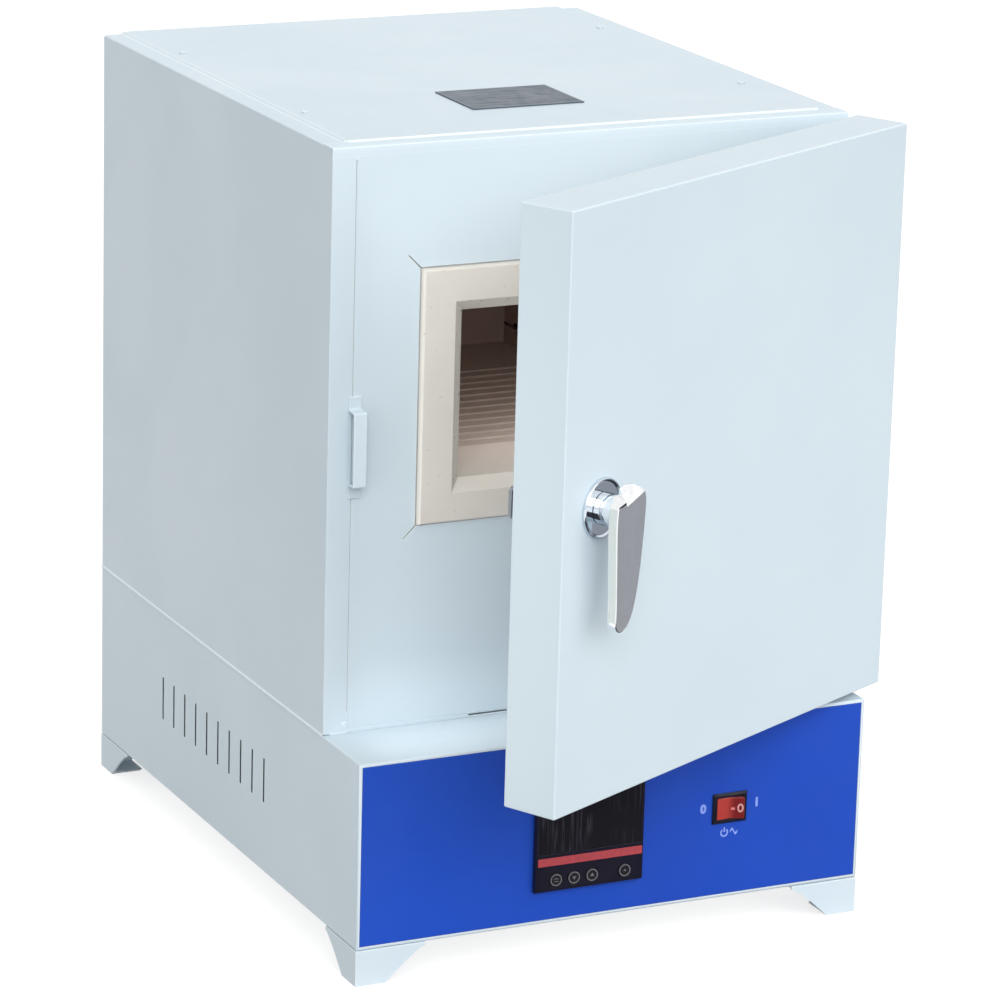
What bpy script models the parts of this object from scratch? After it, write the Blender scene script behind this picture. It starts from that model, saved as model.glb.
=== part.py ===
# Electric pottery kiln: a front-loading sheet-steel chamber kiln on a control base.
# The door stands ajar, as it does when ware is being loaded.
#
# Frame: metres, +Z up, +Y towards the kiln's rear, +X to the right of someone facing the door.
# Before the last step the floor is z = 0, the case's face is y = 0 and its middle is x = 0.
# The last step moves the root empty so that the origin is the middle of the whole object's
# footprint, at floor level.

import math

import bmesh
import bpy
from mathutils import Matrix, Vector

# Cabinet
FACE_BORDER = 0.077
CASE_DEPTH = 0.489
CASE_HEIGHT = 0.472
BASE_HEIGHT = 0.155
LEDGE_DEPTH = 0.072
SHEET = 0.0015
SIDE_FLANGE = 0.020
TOP_FLANGE = 0.040
FACE_TOP_FLANGE = 0.032
FACE_LIFT = 0.003
SEAM = 0.001
GAP = 0.0003
OVERRUN = 0.005
EDGE_ROUND = 0.0012

# Top cover, its screws and its blank plate
COVER_EDGE_INSET = 0.0195
COVER_FRONT_INSET = 0.017
COVER_SCREW_INSET = 0.0305
COVER_SCREW_FRONT = 0.125
COVER_SCREW_PITCH = 0.259
SCREW_HEAD_RADIUS = 0.0042
SCREW_HEAD_HEIGHT = 0.0018
SCREW_SHANK_RADIUS = 0.0019
SCREW_SHANK_LENGTH = 0.007
SCREW_DOME_SHARES = ((0, 1), (0.7, 0.9), (1, 0.45), (1, 0))
NAME_PLATE_WIDTH = 0.098
NAME_PLATE_DEPTH = 0.073
NAME_PLATE_THICKNESS = 0.0008
NAME_PLATE_X = -0.0145
NAME_PLATE_Y = 0.129

# Feet
FOOT_HEIGHT = 0.030
FOOT_SHEET = 0.002
FOOT_TOP_LENGTH = 0.060
FOOT_SOLE_LENGTH = 0.026
FOOT_SLOPE_SHARES = ((0.50, 0.56), (0.80, 0.84), (0.93, 0.94))

# Base
PANEL_THICKNESS = 0.002
PANEL_BORDER = 0.0028
PANEL_LIP = 0.008
WIRING_HOLE_WIDTH = 0.060
WIRING_HOLE_DEPTH = 0.014
WIRING_HOLE_INSET = 0.015
SLOT_COUNT = 10
SLOT_PITCH = 0.0248
SLOT_WIDTH = 0.0032
SLOT_HEIGHT = 0.038
SLOT_SILL = 0.060
SLOT_FIRST_Y = 0.118
REAR_WINDOW_BORDER = 0.015
REAR_COVER_THICKNESS = 0.0012
REAR_COVER_LAP = 0.008

# Mouth and chamber
COLLAR_WIDTH = 0.296
COLLAR_HEIGHT = 0.206
COLLAR_RISE = 0.1665
COLLAR_PROUD = 0.005
COLLAR_ROUND = 0.003
COLLAR_FIT = 0.0013
THROAT_DEPTH = 0.086
MOUTH_WIDTH = 0.222
MOUTH_HEIGHT = 0.136
MOUTH_SILL = 0.0335
MOUTH_CHAMFER = 0.0095
SLIT_LENGTH = 0.014
SLIT_WIDTH = 0.0012
CHAMBER_BACK = 0.030
HEARTH_THICKNESS = 0.012
HEARTH_GROOVE_COUNT = 12
HEARTH_GROOVE_WIDTH = 0.005
HEARTH_GROOVE_DEPTH = 0.0025
HEARTH_GROOVE_PITCH = 0.018

# Heating wire in the chamber's side walls
HEATER_RUNS = 4
HEATER_RADIUS = 0.003
HEATER_CHANNEL = 0.009
HEATER_END_INSET = 0.022
HEATER_TAIL = 0.018

# Insulation round the chamber, and the empty space behind it for the wire tails
REAR_INSULATION = 0.042
REAR_SPACE = 0.029

# Thermocouple
PROBE_RADIUS = 0.004
PROBE_REACH = 0.060
PROBE_RISE = 0.030
PROBE_HEAD_RADIUS = 0.022
PROBE_HEAD_LENGTH = 0.028
PROBE_NECK_RADIUS = 0.009
PROBE_NECK_LENGTH = 0.014

# Door
DOOR_SIDE_MARGIN = 0.0035
DOOR_TOP_RISE = 0.001
DOOR_THICKNESS = 0.0475
DOOR_BOTTOM_GAP = 0.007
DOOR_STANDOFF = 0.015
DOOR_LIP = 0.045
DOOR_OPEN_DEG = 27.0
BACK_PLATE_THICKNESS = 0.0012
BACK_PLATE_INSET = 0.013
BACK_PLATE_HINGE_INSET = 0.026
PLUG_PAD_INSET = 0.003
PLUG_SEAT_DEPTH = 0.018
PLUG_BOSS_DEPTH = 0.020
PLUG_BOSS_CLEARANCE = 0.007
PLUG_BOSS_TAPER = 0.004

# Hinges
HINGE_AXIS_STANDOFF = 0.0075
HINGE_BARREL_RADIUS = 0.0055
HINGE_HALF_LENGTH = 0.030
HINGE_END_INSET = 0.070
HINGE_TAB_WIDTH = 0.006
HINGE_PIN_RADIUS = 0.003
HINGE_PIN_HEAD_RADIUS = 0.0048
HINGE_PIN_HEAD_HEIGHT = 0.002
HINGE_PIN_DOME_SHARES = ((0, 1), (0.8, 1), (1, 0.6), (1, 0))

# Handle and latch
HANDLE_INSET = 0.0466
HANDLE_RISE = 0.234
ROSETTE_RADIUS = 0.0235
ROSETTE_EDGE = 0.0018
ROSETTE_HEIGHT = 0.0045
ROSETTE_RIM = 0.0035
ROSETTE_RIM_RISE = 0.0029
NECK_RADIUS = 0.011
NECK_LENGTH = 0.0155
LEVER_THICKNESS = 0.0085
LEVER_HEAD_RADIUS = 0.0172
LEVER_TIP_RADIUS = 0.0092
LEVER_LENGTH = 0.090
LEVER_HEAD_RISE = 0.021
LEVER_LEAN_DEG = 4.4
LEVER_ROUND = 0.0022
LEVER_BROW_SIZE = 0.028
LEVER_BROW_BITE = 0.00275
LEVER_BROW_DEG = 28.0
LEVER_CROWN_SHARE = 0.72
LEVER_SHOULDER_SHARE = 0.35
LEVER_WAIST_SHARE = 0.6
LEVER_TIP_STEPS = 8
SPINDLE_RADIUS = 0.005
SPINDLE_CLEARANCE = 0.001
TONGUE_THICKNESS = 0.003
TONGUE_HEIGHT = 0.025
TONGUE_REACH = 0.0375
TONGUE_TAIL = 0.013
TONGUE_FACE_GAP = 0.0045
NUT_RADIUS = 0.0085
NUT_HEIGHT = 0.003
NUT_SIDES = 6

# Keeper on the face
KEEPER_WIDTH = 0.013
KEEPER_SHEET = 0.002
KEEPER_REACH = 0.0125
KEEPER_PLATE_HEIGHT = 0.063
KEEPER_LIMB_SPLAY = 0.007
KEEPER_FOOT = 0.008
KEEPER_EDGE_INSET = 0.0125
KEEPER_DROP = 0.006

# Temperature controller
CONTROLLER_SIZE = 0.096
CONTROLLER_PROUD = 0.006
CONTROLLER_X = -0.0245
CONTROLLER_SILL = 0.0285
CONTROLLER_CORNER = 0.002
CONTROLLER_CUTOUT = 0.092
CONTROLLER_CASE = 0.090
CONTROLLER_CASE_DEPTH = 0.070
CONTROLLER_WINDOW_WIDTH = 0.090
CONTROLLER_WINDOW_HEIGHT = 0.060
CONTROLLER_WINDOW_TOP = 0.004
CONTROLLER_WINDOW_THICKNESS = 0.0012
KEY_RADIUS = 0.0056
KEY_CLEARANCE = 0.0004
KEY_LENGTH = 0.003
KEY_PROUD = 0.0006
KEY_POCKET = 0.0036
KEY_SILL = 0.0100
KEY_PLACE_SHARES = (-0.3125, -0.146, 0.021, 0.325)

# Rocker switch
SWITCH_WIDTH = 0.0310
SWITCH_HEIGHT = 0.0257
SWITCH_X = 0.103
SWITCH_Z = 0.0772
SWITCH_PROUD = 0.0025
SWITCH_RIM = 0.0033
SWITCH_BODY_INSET = 0.0018
SWITCH_BODY_DEPTH = 0.022
SWITCH_POCKET_DEPTH = 0.011
ROCKER_CLEARANCE = 0.0006
ROCKER_EAR_RISE = 0.0048
ROCKER_WAIST_RISE = 0.0022
ROCKER_HEEL_DEPTH = 0.0050
ROCKER_TILT_DEG = 8.0

# Parts in the base and at its rear
RELAY_SIZE = (0.060, 0.045, 0.028)
RELAY_PLACE = (0.120, 0.240)
TERMINAL_BLOCK_SIZE = (0.080, 0.030, 0.026)
TERMINAL_BLOCK_PLACE = (-0.100, 0.330)
GLAND_FLANGE_RADIUS = 0.014
GLAND_BODY_RADIUS = 0.011
GLAND_BORE_RADIUS = 0.0045
GLAND_BODY_LENGTH = 0.018
GLAND_FLANGE_LENGTH = 0.005
GLAND_THREAD_RADIUS = 0.0095
GLAND_THREAD_LENGTH = 0.009
GLAND_X = -0.130
GLAND_RISE = 0.050

ROUND_STEPS = 24
SMALL_STEPS = 16
SMOOTH_DEG = 40.0
MITRE_DEG = 45.0
UNIT_SHARE = 1.0
ROUND_PROFILE_SHARE = 0.5

# Places worked out from the sizes above
HALF_WIDTH = COLLAR_WIDTH / 2 + FACE_BORDER
BASE_Z = FOOT_HEIGHT
DECK_Z = FOOT_HEIGHT + BASE_HEIGHT
TOP_Z = DECK_Z + CASE_HEIGHT
CASE_Z = DECK_Z + GAP
PANEL_Y = -LEDGE_DEPTH
COLLAR_BOTTOM = DECK_Z + COLLAR_RISE
COLLAR_TOP = COLLAR_BOTTOM + COLLAR_HEIGHT
MOUTH_Z = COLLAR_BOTTOM + MOUTH_SILL
MOUTH_TOP = MOUTH_Z + MOUTH_HEIGHT
CHAMBER_FRONT = THROAT_DEPTH + GAP
INSULATION_END = CASE_DEPTH - SHEET - REAR_SPACE
BRICK_END = INSULATION_END - REAR_INSULATION - GAP
CHAMBER_END = BRICK_END - CHAMBER_BACK
CASE_FLOOR_Z = CASE_Z + SHEET + GAP
DOOR_BOTTOM = DECK_Z + DOOR_BOTTOM_GAP
DOOR_TOP = TOP_Z + DOOR_TOP_RISE
DOOR_LEFT = -HALF_WIDTH + DOOR_SIDE_MARGIN
DOOR_RIGHT = HALF_WIDTH - DOOR_SIDE_MARGIN
DOOR_BACK = -DOOR_STANDOFF
DOOR_FRONT = DOOR_BACK - DOOR_THICKNESS
HANDLE_X = DOOR_LEFT + HANDLE_INSET
HANDLE_Z = DOOR_BOTTOM + HANDLE_RISE
HINGE_AXIS = Vector((DOOR_RIGHT, -HINGE_AXIS_STANDOFF, 0))
HANDLE_AXIS = Vector((HANDLE_X, DOOR_FRONT, HANDLE_Z))
SWITCH_AXIS = Vector((SWITCH_X, PANEL_Y, BASE_Z + SWITCH_Z))


for old in list(bpy.data.objects):
    bpy.data.objects.remove(old, do_unlink=True)

kiln = bpy.data.collections.new("electric_pottery_kiln")
cutters = bpy.data.collections.new("cutters")
bpy.context.scene.collection.children.link(kiln)
bpy.context.scene.collection.children.link(cutters)


def material(name, color, roughness, metallic=0.0):
    """A plain Principled material in the part's own colour."""
    made = bpy.data.materials.new(name)
    made.use_nodes = True
    shader = made.node_tree.nodes["Principled BSDF"]
    shader.inputs["Base Color"].default_value = (*color, 1.0)
    shader.inputs["Roughness"].default_value = roughness
    shader.inputs["Metallic"].default_value = metallic
    return made


PAINT = material("pale_paint", (0.68, 0.77, 0.83), 0.42)
BLUE_PAINT = material("blue_paint", (0.021, 0.085, 0.55), 0.40)
ZINC = material("zinc_steel", (0.55, 0.57, 0.58), 0.38, 1.0)
CHROME = material("chrome_plate", (0.78, 0.79, 0.80), 0.12, 1.0)
CERAMIC = material("cream_ceramic", (0.62, 0.56, 0.47), 0.85)
BRICK = material("fired_brick", (0.20, 0.12, 0.09), 0.90)
FIBRE = material("white_fibre", (0.75, 0.73, 0.68), 0.95)
WIRE = material("heating_wire", (0.16, 0.14, 0.13), 0.55, 0.8)
BLACK = material("black_plastic", (0.015, 0.015, 0.019), 0.35)
SCREEN = material("dark_screen", (0.010, 0.010, 0.012), 0.08)
GREY_KEY = material("grey_key", (0.09, 0.09, 0.095), 0.40)
RED = material("red_rocker", (0.50, 0.035, 0.030), 0.28)
PLATE_GREY = material("plate_grey", (0.10, 0.12, 0.14), 0.40, 0.4)
CAST = material("cast_alloy", (0.45, 0.46, 0.47), 0.50, 0.7)
CREAM_PLASTIC = material("cream_plastic", (0.66, 0.62, 0.50), 0.50)


def empty(name, place, parent=None, carrier=Vector((0, 0, 0))):
    """An empty at a place given in kiln coordinates, under a parent that stands at carrier."""
    made = bpy.data.objects.new(name, None)
    kiln.objects.link(made)
    made.parent = parent
    made.location = Vector(place) - carrier
    return made


ROOT = empty("kiln_root", (0, 0, 0))
DOOR = empty("door_hinge_axis", HINGE_AXIS, ROOT)
HANDLE = empty("handle_axis", HANDLE_AXIS, DOOR, HINGE_AXIS)
SWITCH = empty("rocker_axis", SWITCH_AXIS, ROOT)
CARRIER = {ROOT: Vector((0, 0, 0)), DOOR: HINGE_AXIS, HANDLE: HANDLE_AXIS, SWITCH: SWITCH_AXIS}


def place(obj, centre, parent, finish):
    """Put a finished piece into the kiln, with its centre given in kiln coordinates."""
    kiln.objects.link(obj)
    obj.parent = parent
    obj.location = Vector(centre) - CARRIER[parent]
    obj.data.materials.clear()
    obj.data.materials.append(finish)
    return obj


def cube_mesh(name, size):
    """A box of the given size, centred on its own origin."""
    shape = bmesh.new()
    bmesh.ops.create_cube(shape, size=UNIT_SHARE)
    bmesh.ops.scale(shape, vec=Vector(size), verts=shape.verts)
    mesh = bpy.data.meshes.new(name)
    shape.to_mesh(mesh)
    shape.free()
    return mesh


def box(name, low, high, finish, parent=ROOT, rounding=0.0, segments=2):
    """A box from its low corner to its high corner, with rounded edges if asked."""
    low, high = Vector(low), Vector(high)
    made = place(bpy.data.objects.new(name, cube_mesh(name, high - low)),
                 (low + high) / 2, parent, finish)
    if rounding:
        bevel = made.modifiers.new("edges", "BEVEL")
        bevel.width = rounding
        bevel.segments = segments
    return made


def hide_cutter(made, parent):
    """A cutter follows its piece, and is neither shown nor rendered."""
    cutters.objects.link(made)
    made.parent = parent
    made.display_type = "WIRE"
    made.hide_render = True
    return made


def box_cutter(low, high, parent=ROOT, turn_y=0.0):
    """A box-shaped cutter, turned about the kiln's depth axis if asked."""
    low, high = Vector(low), Vector(high)
    made = hide_cutter(bpy.data.objects.new("cut_box", cube_mesh("cut_box", high - low)), parent)
    made.location = (low + high) / 2 - CARRIER[parent]
    made.rotation_euler = (0, turn_y, 0)
    return made


def rod_mesh(name, radius, length, steps):
    """A round bar along Z, centred on its own origin."""
    shape = bmesh.new()
    bmesh.ops.create_cone(shape, cap_ends=True, segments=steps, radius1=radius, radius2=radius, depth=length)
    mesh = bpy.data.meshes.new(name)
    shape.to_mesh(mesh)
    shape.free()
    return mesh


def smooth(made):
    """Shade a round piece smooth, with its flat ends kept sharp."""
    made.data.shade_smooth()
    made.data.set_sharp_from_angle(angle=math.radians(SMOOTH_DEG))
    return made


TURN = {"Y": (math.radians(-90), 0, 0), "Z": (0, 0, 0)}


def rod(name, axis, low, high, radius, finish, parent=ROOT, steps=ROUND_STEPS):
    """A round bar between two points that lie along one axis."""
    low, high = Vector(low), Vector(high)
    made = bpy.data.objects.new(name, rod_mesh(name, radius, (high - low).length, steps))
    made.rotation_euler = TURN[axis]
    return smooth(place(made, (low + high) / 2, parent, finish))


def rod_cutter(axis, low, high, radius, parent=ROOT, steps=ROUND_STEPS):
    """A round bar that cuts a hole."""
    low, high = Vector(low), Vector(high)
    mesh = rod_mesh("cut_rod", radius, (high - low).length, steps)
    made = hide_cutter(bpy.data.objects.new("cut_rod", mesh), parent)
    made.location = (low + high) / 2 - CARRIER[parent]
    made.rotation_euler = TURN[axis]
    return made


def cut(made, *tools):
    """Take each tool's shape out of the piece."""
    for tool in tools:
        step = made.modifiers.new("cut", "BOOLEAN")
        step.operation = "DIFFERENCE"
        step.object = tool
    return made


def join(made, *tools):
    """Fuse each tool's shape onto the piece; the tools are kept as guides."""
    for tool in tools:
        step = made.modifiers.new("join", "BOOLEAN")
        step.operation = "UNION"
        step.object = tool
    return made


def outline_mesh(name, points, thickness):
    """A flat outline in the curve's own XY plane, given a thickness along its Z."""
    curve = bpy.data.curves.new(name, "CURVE")
    curve.dimensions = "2D"
    curve.fill_mode = "BOTH"
    curve.extrude = thickness / 2
    spline = curve.splines.new("POLY")
    spline.points.add(len(points) - 1)
    for point, (u, v) in zip(spline.points, points):
        point.co = (u, v, 0, 1)
    spline.use_cyclic_u = True
    flat = bpy.data.objects.new(name, curve)
    kiln.objects.link(flat)
    mesh = bpy.data.meshes.new_from_object(flat.evaluated_get(bpy.context.evaluated_depsgraph_get()))
    bpy.data.objects.remove(flat, do_unlink=True)
    shape = bmesh.new()
    shape.from_mesh(mesh)
    bmesh.ops.remove_doubles(shape, verts=shape.verts, dist=GAP / 100)
    bmesh.ops.recalc_face_normals(shape, faces=shape.faces)
    shape.to_mesh(mesh)
    shape.free()
    return mesh


# The outline's plane: XZ stands up facing the front, YZ stands up facing the side, XY lies flat.
PLANE = {
    "XZ": Matrix(((1, 0, 0), (0, 0, -1), (0, 1, 0))),
    "YZ": Matrix(((0, 0, 1), (1, 0, 0), (0, 1, 0))),
    "XY": Matrix.Identity(3),
}


def plate(name, plane, points, thickness, centre, finish, parent=ROOT):
    """A flat outline of the given thickness, whose points are counted from centre."""
    made = bpy.data.objects.new(name, outline_mesh(name, points, thickness))
    made.rotation_euler = PLANE[plane].to_euler()
    return place(made, centre, parent, finish)


def plate_guide(plane, points, thickness, centre, parent=ROOT):
    """A flat outline that is fused onto a piece or cut from it."""
    made = hide_cutter(bpy.data.objects.new("guide", outline_mesh("guide", points, thickness)), parent)
    made.location = Vector(centre) - CARRIER[parent]
    made.rotation_euler = PLANE[plane].to_euler()
    return made


def arc(radius, start_deg, end_deg, steps, centre=(0, 0)):
    """Points along an arc, ends included."""
    points = []
    for step in range(steps + 1):
        angle = math.radians(start_deg + (end_deg - start_deg) * step / steps)
        points.append((centre[0] + radius * math.cos(angle), centre[1] + radius * math.sin(angle)))
    return points


def turned(name, profile, axis, centre, finish, parent=ROOT, steps=ROUND_STEPS):
    """A turned piece: the profile is (radius, height) down its outer side, from top to bottom."""
    mesh = bpy.data.meshes.new(name)
    vertices = [(radius, 0, height) for radius, height in profile]
    mesh.from_pydata(vertices, [(i, i + 1) for i in range(len(vertices) - 1)], [])
    made = bpy.data.objects.new(name, mesh)
    made.rotation_euler = TURN[axis]
    place(made, centre, parent, finish)
    screw = made.modifiers.new("turn", "SCREW")
    screw.steps = steps
    screw.render_steps = steps
    screw.use_merge_vertices = True
    screw.merge_threshold = GAP / 100
    screw.use_smooth_shade = True
    return made


def front_rounded_box(name, low, high, finish, rounding, parent=ROOT, segments=3):
    """A box whose front outer edges alone are rounded."""
    low, high = Vector(low), Vector(high)
    mesh = cube_mesh(name, high - low)
    shape = bmesh.new()
    shape.from_mesh(mesh)
    front = -(high.y - low.y) / 2
    edges = [e for e in shape.edges if all(abs(v.co.y - front) < GAP for v in e.verts)]
    bmesh.ops.bevel(shape, geom=edges, offset=rounding, segments=segments, affect="EDGES",
                    profile=ROUND_PROFILE_SHARE)
    shape.to_mesh(mesh)
    shape.free()
    return place(bpy.data.objects.new(name, mesh), (low + high) / 2, parent, finish)


def funnel_cutter(low, high, grow, parent=ROOT):
    """A box-shaped cutter that is wider at its front end by grow on every side."""
    low, high = Vector(low), Vector(high)
    mesh = cube_mesh("cut_funnel", high - low)
    for vertex in mesh.vertices:
        if vertex.co.y < 0:
            vertex.co.x += math.copysign(grow, vertex.co.x)
            vertex.co.z += math.copysign(grow, vertex.co.z)
    made = hide_cutter(bpy.data.objects.new("cut_funnel", mesh), parent)
    made.location = (low + high) / 2 - CARRIER[parent]
    return made


def foot(name, side, end):
    """One folded corner foot; side is -1 for left and 1 for right, end is -1 for front."""
    corner_x = side * HALF_WIDTH
    corner_y = PANEL_Y if end < 0 else CASE_DEPTH
    top = FOOT_HEIGHT - GAP
    reach = FOOT_TOP_LENGTH
    far_x, far_y = corner_x - side * reach, corner_y - end * reach
    made = box(name, (min(corner_x, far_x), min(corner_y, far_y), 0),
               (max(corner_x, far_x), max(corner_y, far_y), top), PAINT)
    inner_x = sorted((corner_x - side * FOOT_SHEET, far_x - side * OVERRUN))
    inner_y = sorted((corner_y - end * FOOT_SHEET, far_y - end * OVERRUN))
    cut(made, box_cutter((inner_x[0], inner_y[0], FOOT_SHEET), (inner_x[1], inner_y[1], top - FOOT_SHEET)))
    brow = top - FOOT_SHEET
    slope = [(FOOT_SOLE_LENGTH, -OVERRUN), (FOOT_SOLE_LENGTH, 0)]
    slant = reach - FOOT_SOLE_LENGTH
    slope += [(FOOT_SOLE_LENGTH + slant * along, brow * up) for along, up in FOOT_SLOPE_SHARES]
    slope += [(reach + OVERRUN, brow), (reach + OVERRUN, -OVERRUN)]
    deep = (reach + OVERRUN) * 2
    across = plate_guide("XZ", [(-side * u, v) for u, v in slope], deep, (corner_x, corner_y, 0))
    along = plate_guide("YZ", [(-end * u, v) for u, v in slope], deep, (corner_x, corner_y, 0))
    return cut(made, across, along)


def build_feet():
    foot("foot_front_left", -1, -1)
    foot("foot_front_right", 1, -1)
    foot("foot_rear_left", -1, 1)
    foot("foot_rear_right", 1, 1)


def wiring_hole(height):
    """The hole behind the insulation through which the wires rise from the base into the case."""
    middle = CASE_DEPTH - WIRING_HOLE_INSET
    half_x, half_y = WIRING_HOLE_WIDTH / 2, WIRING_HOLE_DEPTH / 2
    return box_cutter((-half_x, middle - half_y, height - OVERRUN),
                      (half_x, middle + half_y, height + OVERRUN))


def build_base():
    """The base's folded case with its side slots, floor, rear cover and blue panel."""
    case = box("base_case", (-HALF_WIDTH, PANEL_Y, BASE_Z), (HALF_WIDTH, CASE_DEPTH, DECK_Z), PAINT,
               rounding=EDGE_ROUND, segments=1)
    recess = PANEL_THICKNESS + GAP
    inner = HALF_WIDTH - SHEET
    cut(case, box_cutter((-inner, PANEL_Y + recess + SHEET, BASE_Z - OVERRUN),
                         (inner, CASE_DEPTH - SHEET, DECK_Z - SHEET)))
    window = HALF_WIDTH - PANEL_BORDER
    cut(case, box_cutter((-window, PANEL_Y - OVERRUN, BASE_Z + PANEL_BORDER),
                         (window, PANEL_Y + recess, DECK_Z - PANEL_BORDER)))
    view = window - PANEL_LIP
    cut(case, box_cutter((-view, PANEL_Y, BASE_Z + PANEL_BORDER + PANEL_LIP),
                         (view, PANEL_Y + recess + SHEET + OVERRUN, DECK_Z - PANEL_BORDER - PANEL_LIP)))
    rear = HALF_WIDTH - REAR_WINDOW_BORDER
    cut(case, box_cutter((-rear, CASE_DEPTH - SHEET - OVERRUN, BASE_Z + REAR_WINDOW_BORDER),
                         (rear, CASE_DEPTH + OVERRUN, DECK_Z - REAR_WINDOW_BORDER)))
    cut(case, wiring_hole(DECK_Z))
    for number in range(SLOT_COUNT):
        y = SLOT_FIRST_Y + number * SLOT_PITCH
        cut(case, box_cutter((-HALF_WIDTH - OVERRUN, y - SLOT_WIDTH / 2, BASE_Z + SLOT_SILL),
                             (HALF_WIDTH + OVERRUN, y + SLOT_WIDTH / 2, BASE_Z + SLOT_SILL + SLOT_HEIGHT)))

    fit = inner - GAP
    box("base_floor", (-fit, PANEL_Y + recess + SHEET + GAP, BASE_Z),
        (fit, CASE_DEPTH - SHEET - GAP, BASE_Z + SHEET), ZINC)

    cover_x = rear + REAR_COVER_LAP
    cover_low = BASE_Z + REAR_WINDOW_BORDER - REAR_COVER_LAP
    cover_high = DECK_Z - REAR_WINDOW_BORDER + REAR_COVER_LAP
    cover_y = CASE_DEPTH + GAP
    cover = box("base_rear_cover", (-cover_x, cover_y, cover_low),
                (cover_x, cover_y + REAR_COVER_THICKNESS, cover_high), PAINT)
    gland_z = BASE_Z + GLAND_RISE
    cut(cover, rod_cutter("Y", (GLAND_X, cover_y - OVERRUN, gland_z),
                          (GLAND_X, cover_y + OVERRUN, gland_z), GLAND_THREAD_RADIUS + GAP))

    panel_x = window - GAP
    panel = box("control_panel", (-panel_x, PANEL_Y, BASE_Z + PANEL_BORDER + GAP),
                (panel_x, PANEL_Y + PANEL_THICKNESS, DECK_Z - PANEL_BORDER - GAP), BLUE_PAINT)
    hole = CONTROLLER_CUTOUT / 2
    centre_z = BASE_Z + CONTROLLER_SILL + CONTROLLER_SIZE / 2
    cut(panel, box_cutter((CONTROLLER_X - hole, PANEL_Y - OVERRUN, centre_z - hole),
                          (CONTROLLER_X + hole, PANEL_Y + OVERRUN, centre_z + hole)))
    body_x = SWITCH_WIDTH / 2 - SWITCH_BODY_INSET + GAP
    body_z = SWITCH_HEIGHT / 2 - SWITCH_BODY_INSET + GAP
    cut(panel, box_cutter((SWITCH_X - body_x, PANEL_Y - OVERRUN, SWITCH_AXIS.z - body_z),
                          (SWITCH_X + body_x, PANEL_Y + OVERRUN, SWITCH_AXIS.z + body_z)))


def build_controller():
    """The square temperature controller: bezel, window, four keys and the case behind the panel."""
    low_z = BASE_Z + CONTROLLER_SILL
    high_z = low_z + CONTROLLER_SIZE
    low_x = CONTROLLER_X - CONTROLLER_SIZE / 2
    high_x = CONTROLLER_X + CONTROLLER_SIZE / 2
    front = PANEL_Y - CONTROLLER_PROUD
    bezel = front_rounded_box("controller_bezel", (low_x, front, low_z), (high_x, PANEL_Y - GAP, high_z),
                              BLACK, CONTROLLER_CORNER, segments=2)
    half = CONTROLLER_WINDOW_WIDTH / 2
    window_high = high_z - CONTROLLER_WINDOW_TOP
    window_low = window_high - CONTROLLER_WINDOW_HEIGHT
    depth = CONTROLLER_WINDOW_THICKNESS + GAP
    cut(bezel, box_cutter((CONTROLLER_X - half, front - OVERRUN, window_low),
                          (CONTROLLER_X + half, front + depth, window_high)))
    box("controller_window", (CONTROLLER_X - half + GAP, front, window_low + GAP),
        (CONTROLLER_X + half - GAP, front + CONTROLLER_WINDOW_THICKNESS, window_high - GAP), SCREEN)
    key_z = low_z + KEY_SILL
    for number, share in enumerate(KEY_PLACE_SHARES, start=1):
        x = CONTROLLER_X + share * CONTROLLER_SIZE
        cut(bezel, rod_cutter("Y", (x, front - OVERRUN, key_z), (x, front + KEY_POCKET, key_z),
                              KEY_RADIUS + KEY_CLEARANCE))
        rod("controller_key_" + str(number), "Y", (x, front - KEY_PROUD, key_z),
            (x, front - KEY_PROUD + KEY_LENGTH, key_z), KEY_RADIUS, GREY_KEY)
    centre_z = (low_z + high_z) / 2
    half = CONTROLLER_CASE / 2
    box("controller_case", (CONTROLLER_X - half, PANEL_Y, centre_z - half),
        (CONTROLLER_X + half, PANEL_Y + CONTROLLER_CASE_DEPTH, centre_z + half), BLACK)


def build_switch():
    """The rocker switch: its frame with the body behind the panel, and the rocker."""
    x, z = SWITCH_AXIS.x, SWITCH_AXIS.z
    half_x, half_z = SWITCH_WIDTH / 2, SWITCH_HEIGHT / 2
    front = PANEL_Y - SWITCH_PROUD
    frame = front_rounded_box("switch_frame", (x - half_x, front, z - half_z),
                              (x + half_x, PANEL_Y - GAP, z + half_z), BLACK, SWITCH_PROUD / 2, segments=1)
    body_x, body_z = half_x - SWITCH_BODY_INSET, half_z - SWITCH_BODY_INSET
    join(frame, box_cutter((x - body_x, PANEL_Y - GAP * 2, z - body_z),
                           (x + body_x, PANEL_Y + SWITCH_BODY_DEPTH, z + body_z)))
    pocket_x, pocket_z = half_x - SWITCH_RIM, half_z - SWITCH_RIM
    cut(frame, box_cutter((x - pocket_x, front - OVERRUN, z - pocket_z),
                          (x + pocket_x, front + SWITCH_POCKET_DEPTH, z + pocket_z)))
    reach = pocket_x - ROCKER_CLEARANCE
    profile = [(-reach, -ROCKER_EAR_RISE), (0, -ROCKER_WAIST_RISE), (reach, -ROCKER_EAR_RISE),
               (reach, 0), (0, ROCKER_HEEL_DEPTH), (-reach, 0)]
    plate("switch_rocker", "XY", profile, (pocket_z - ROCKER_CLEARANCE) * 2, (x, PANEL_Y, z), RED, SWITCH)
    SWITCH.rotation_euler = (0, 0, math.radians(-ROCKER_TILT_DEG))


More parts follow.
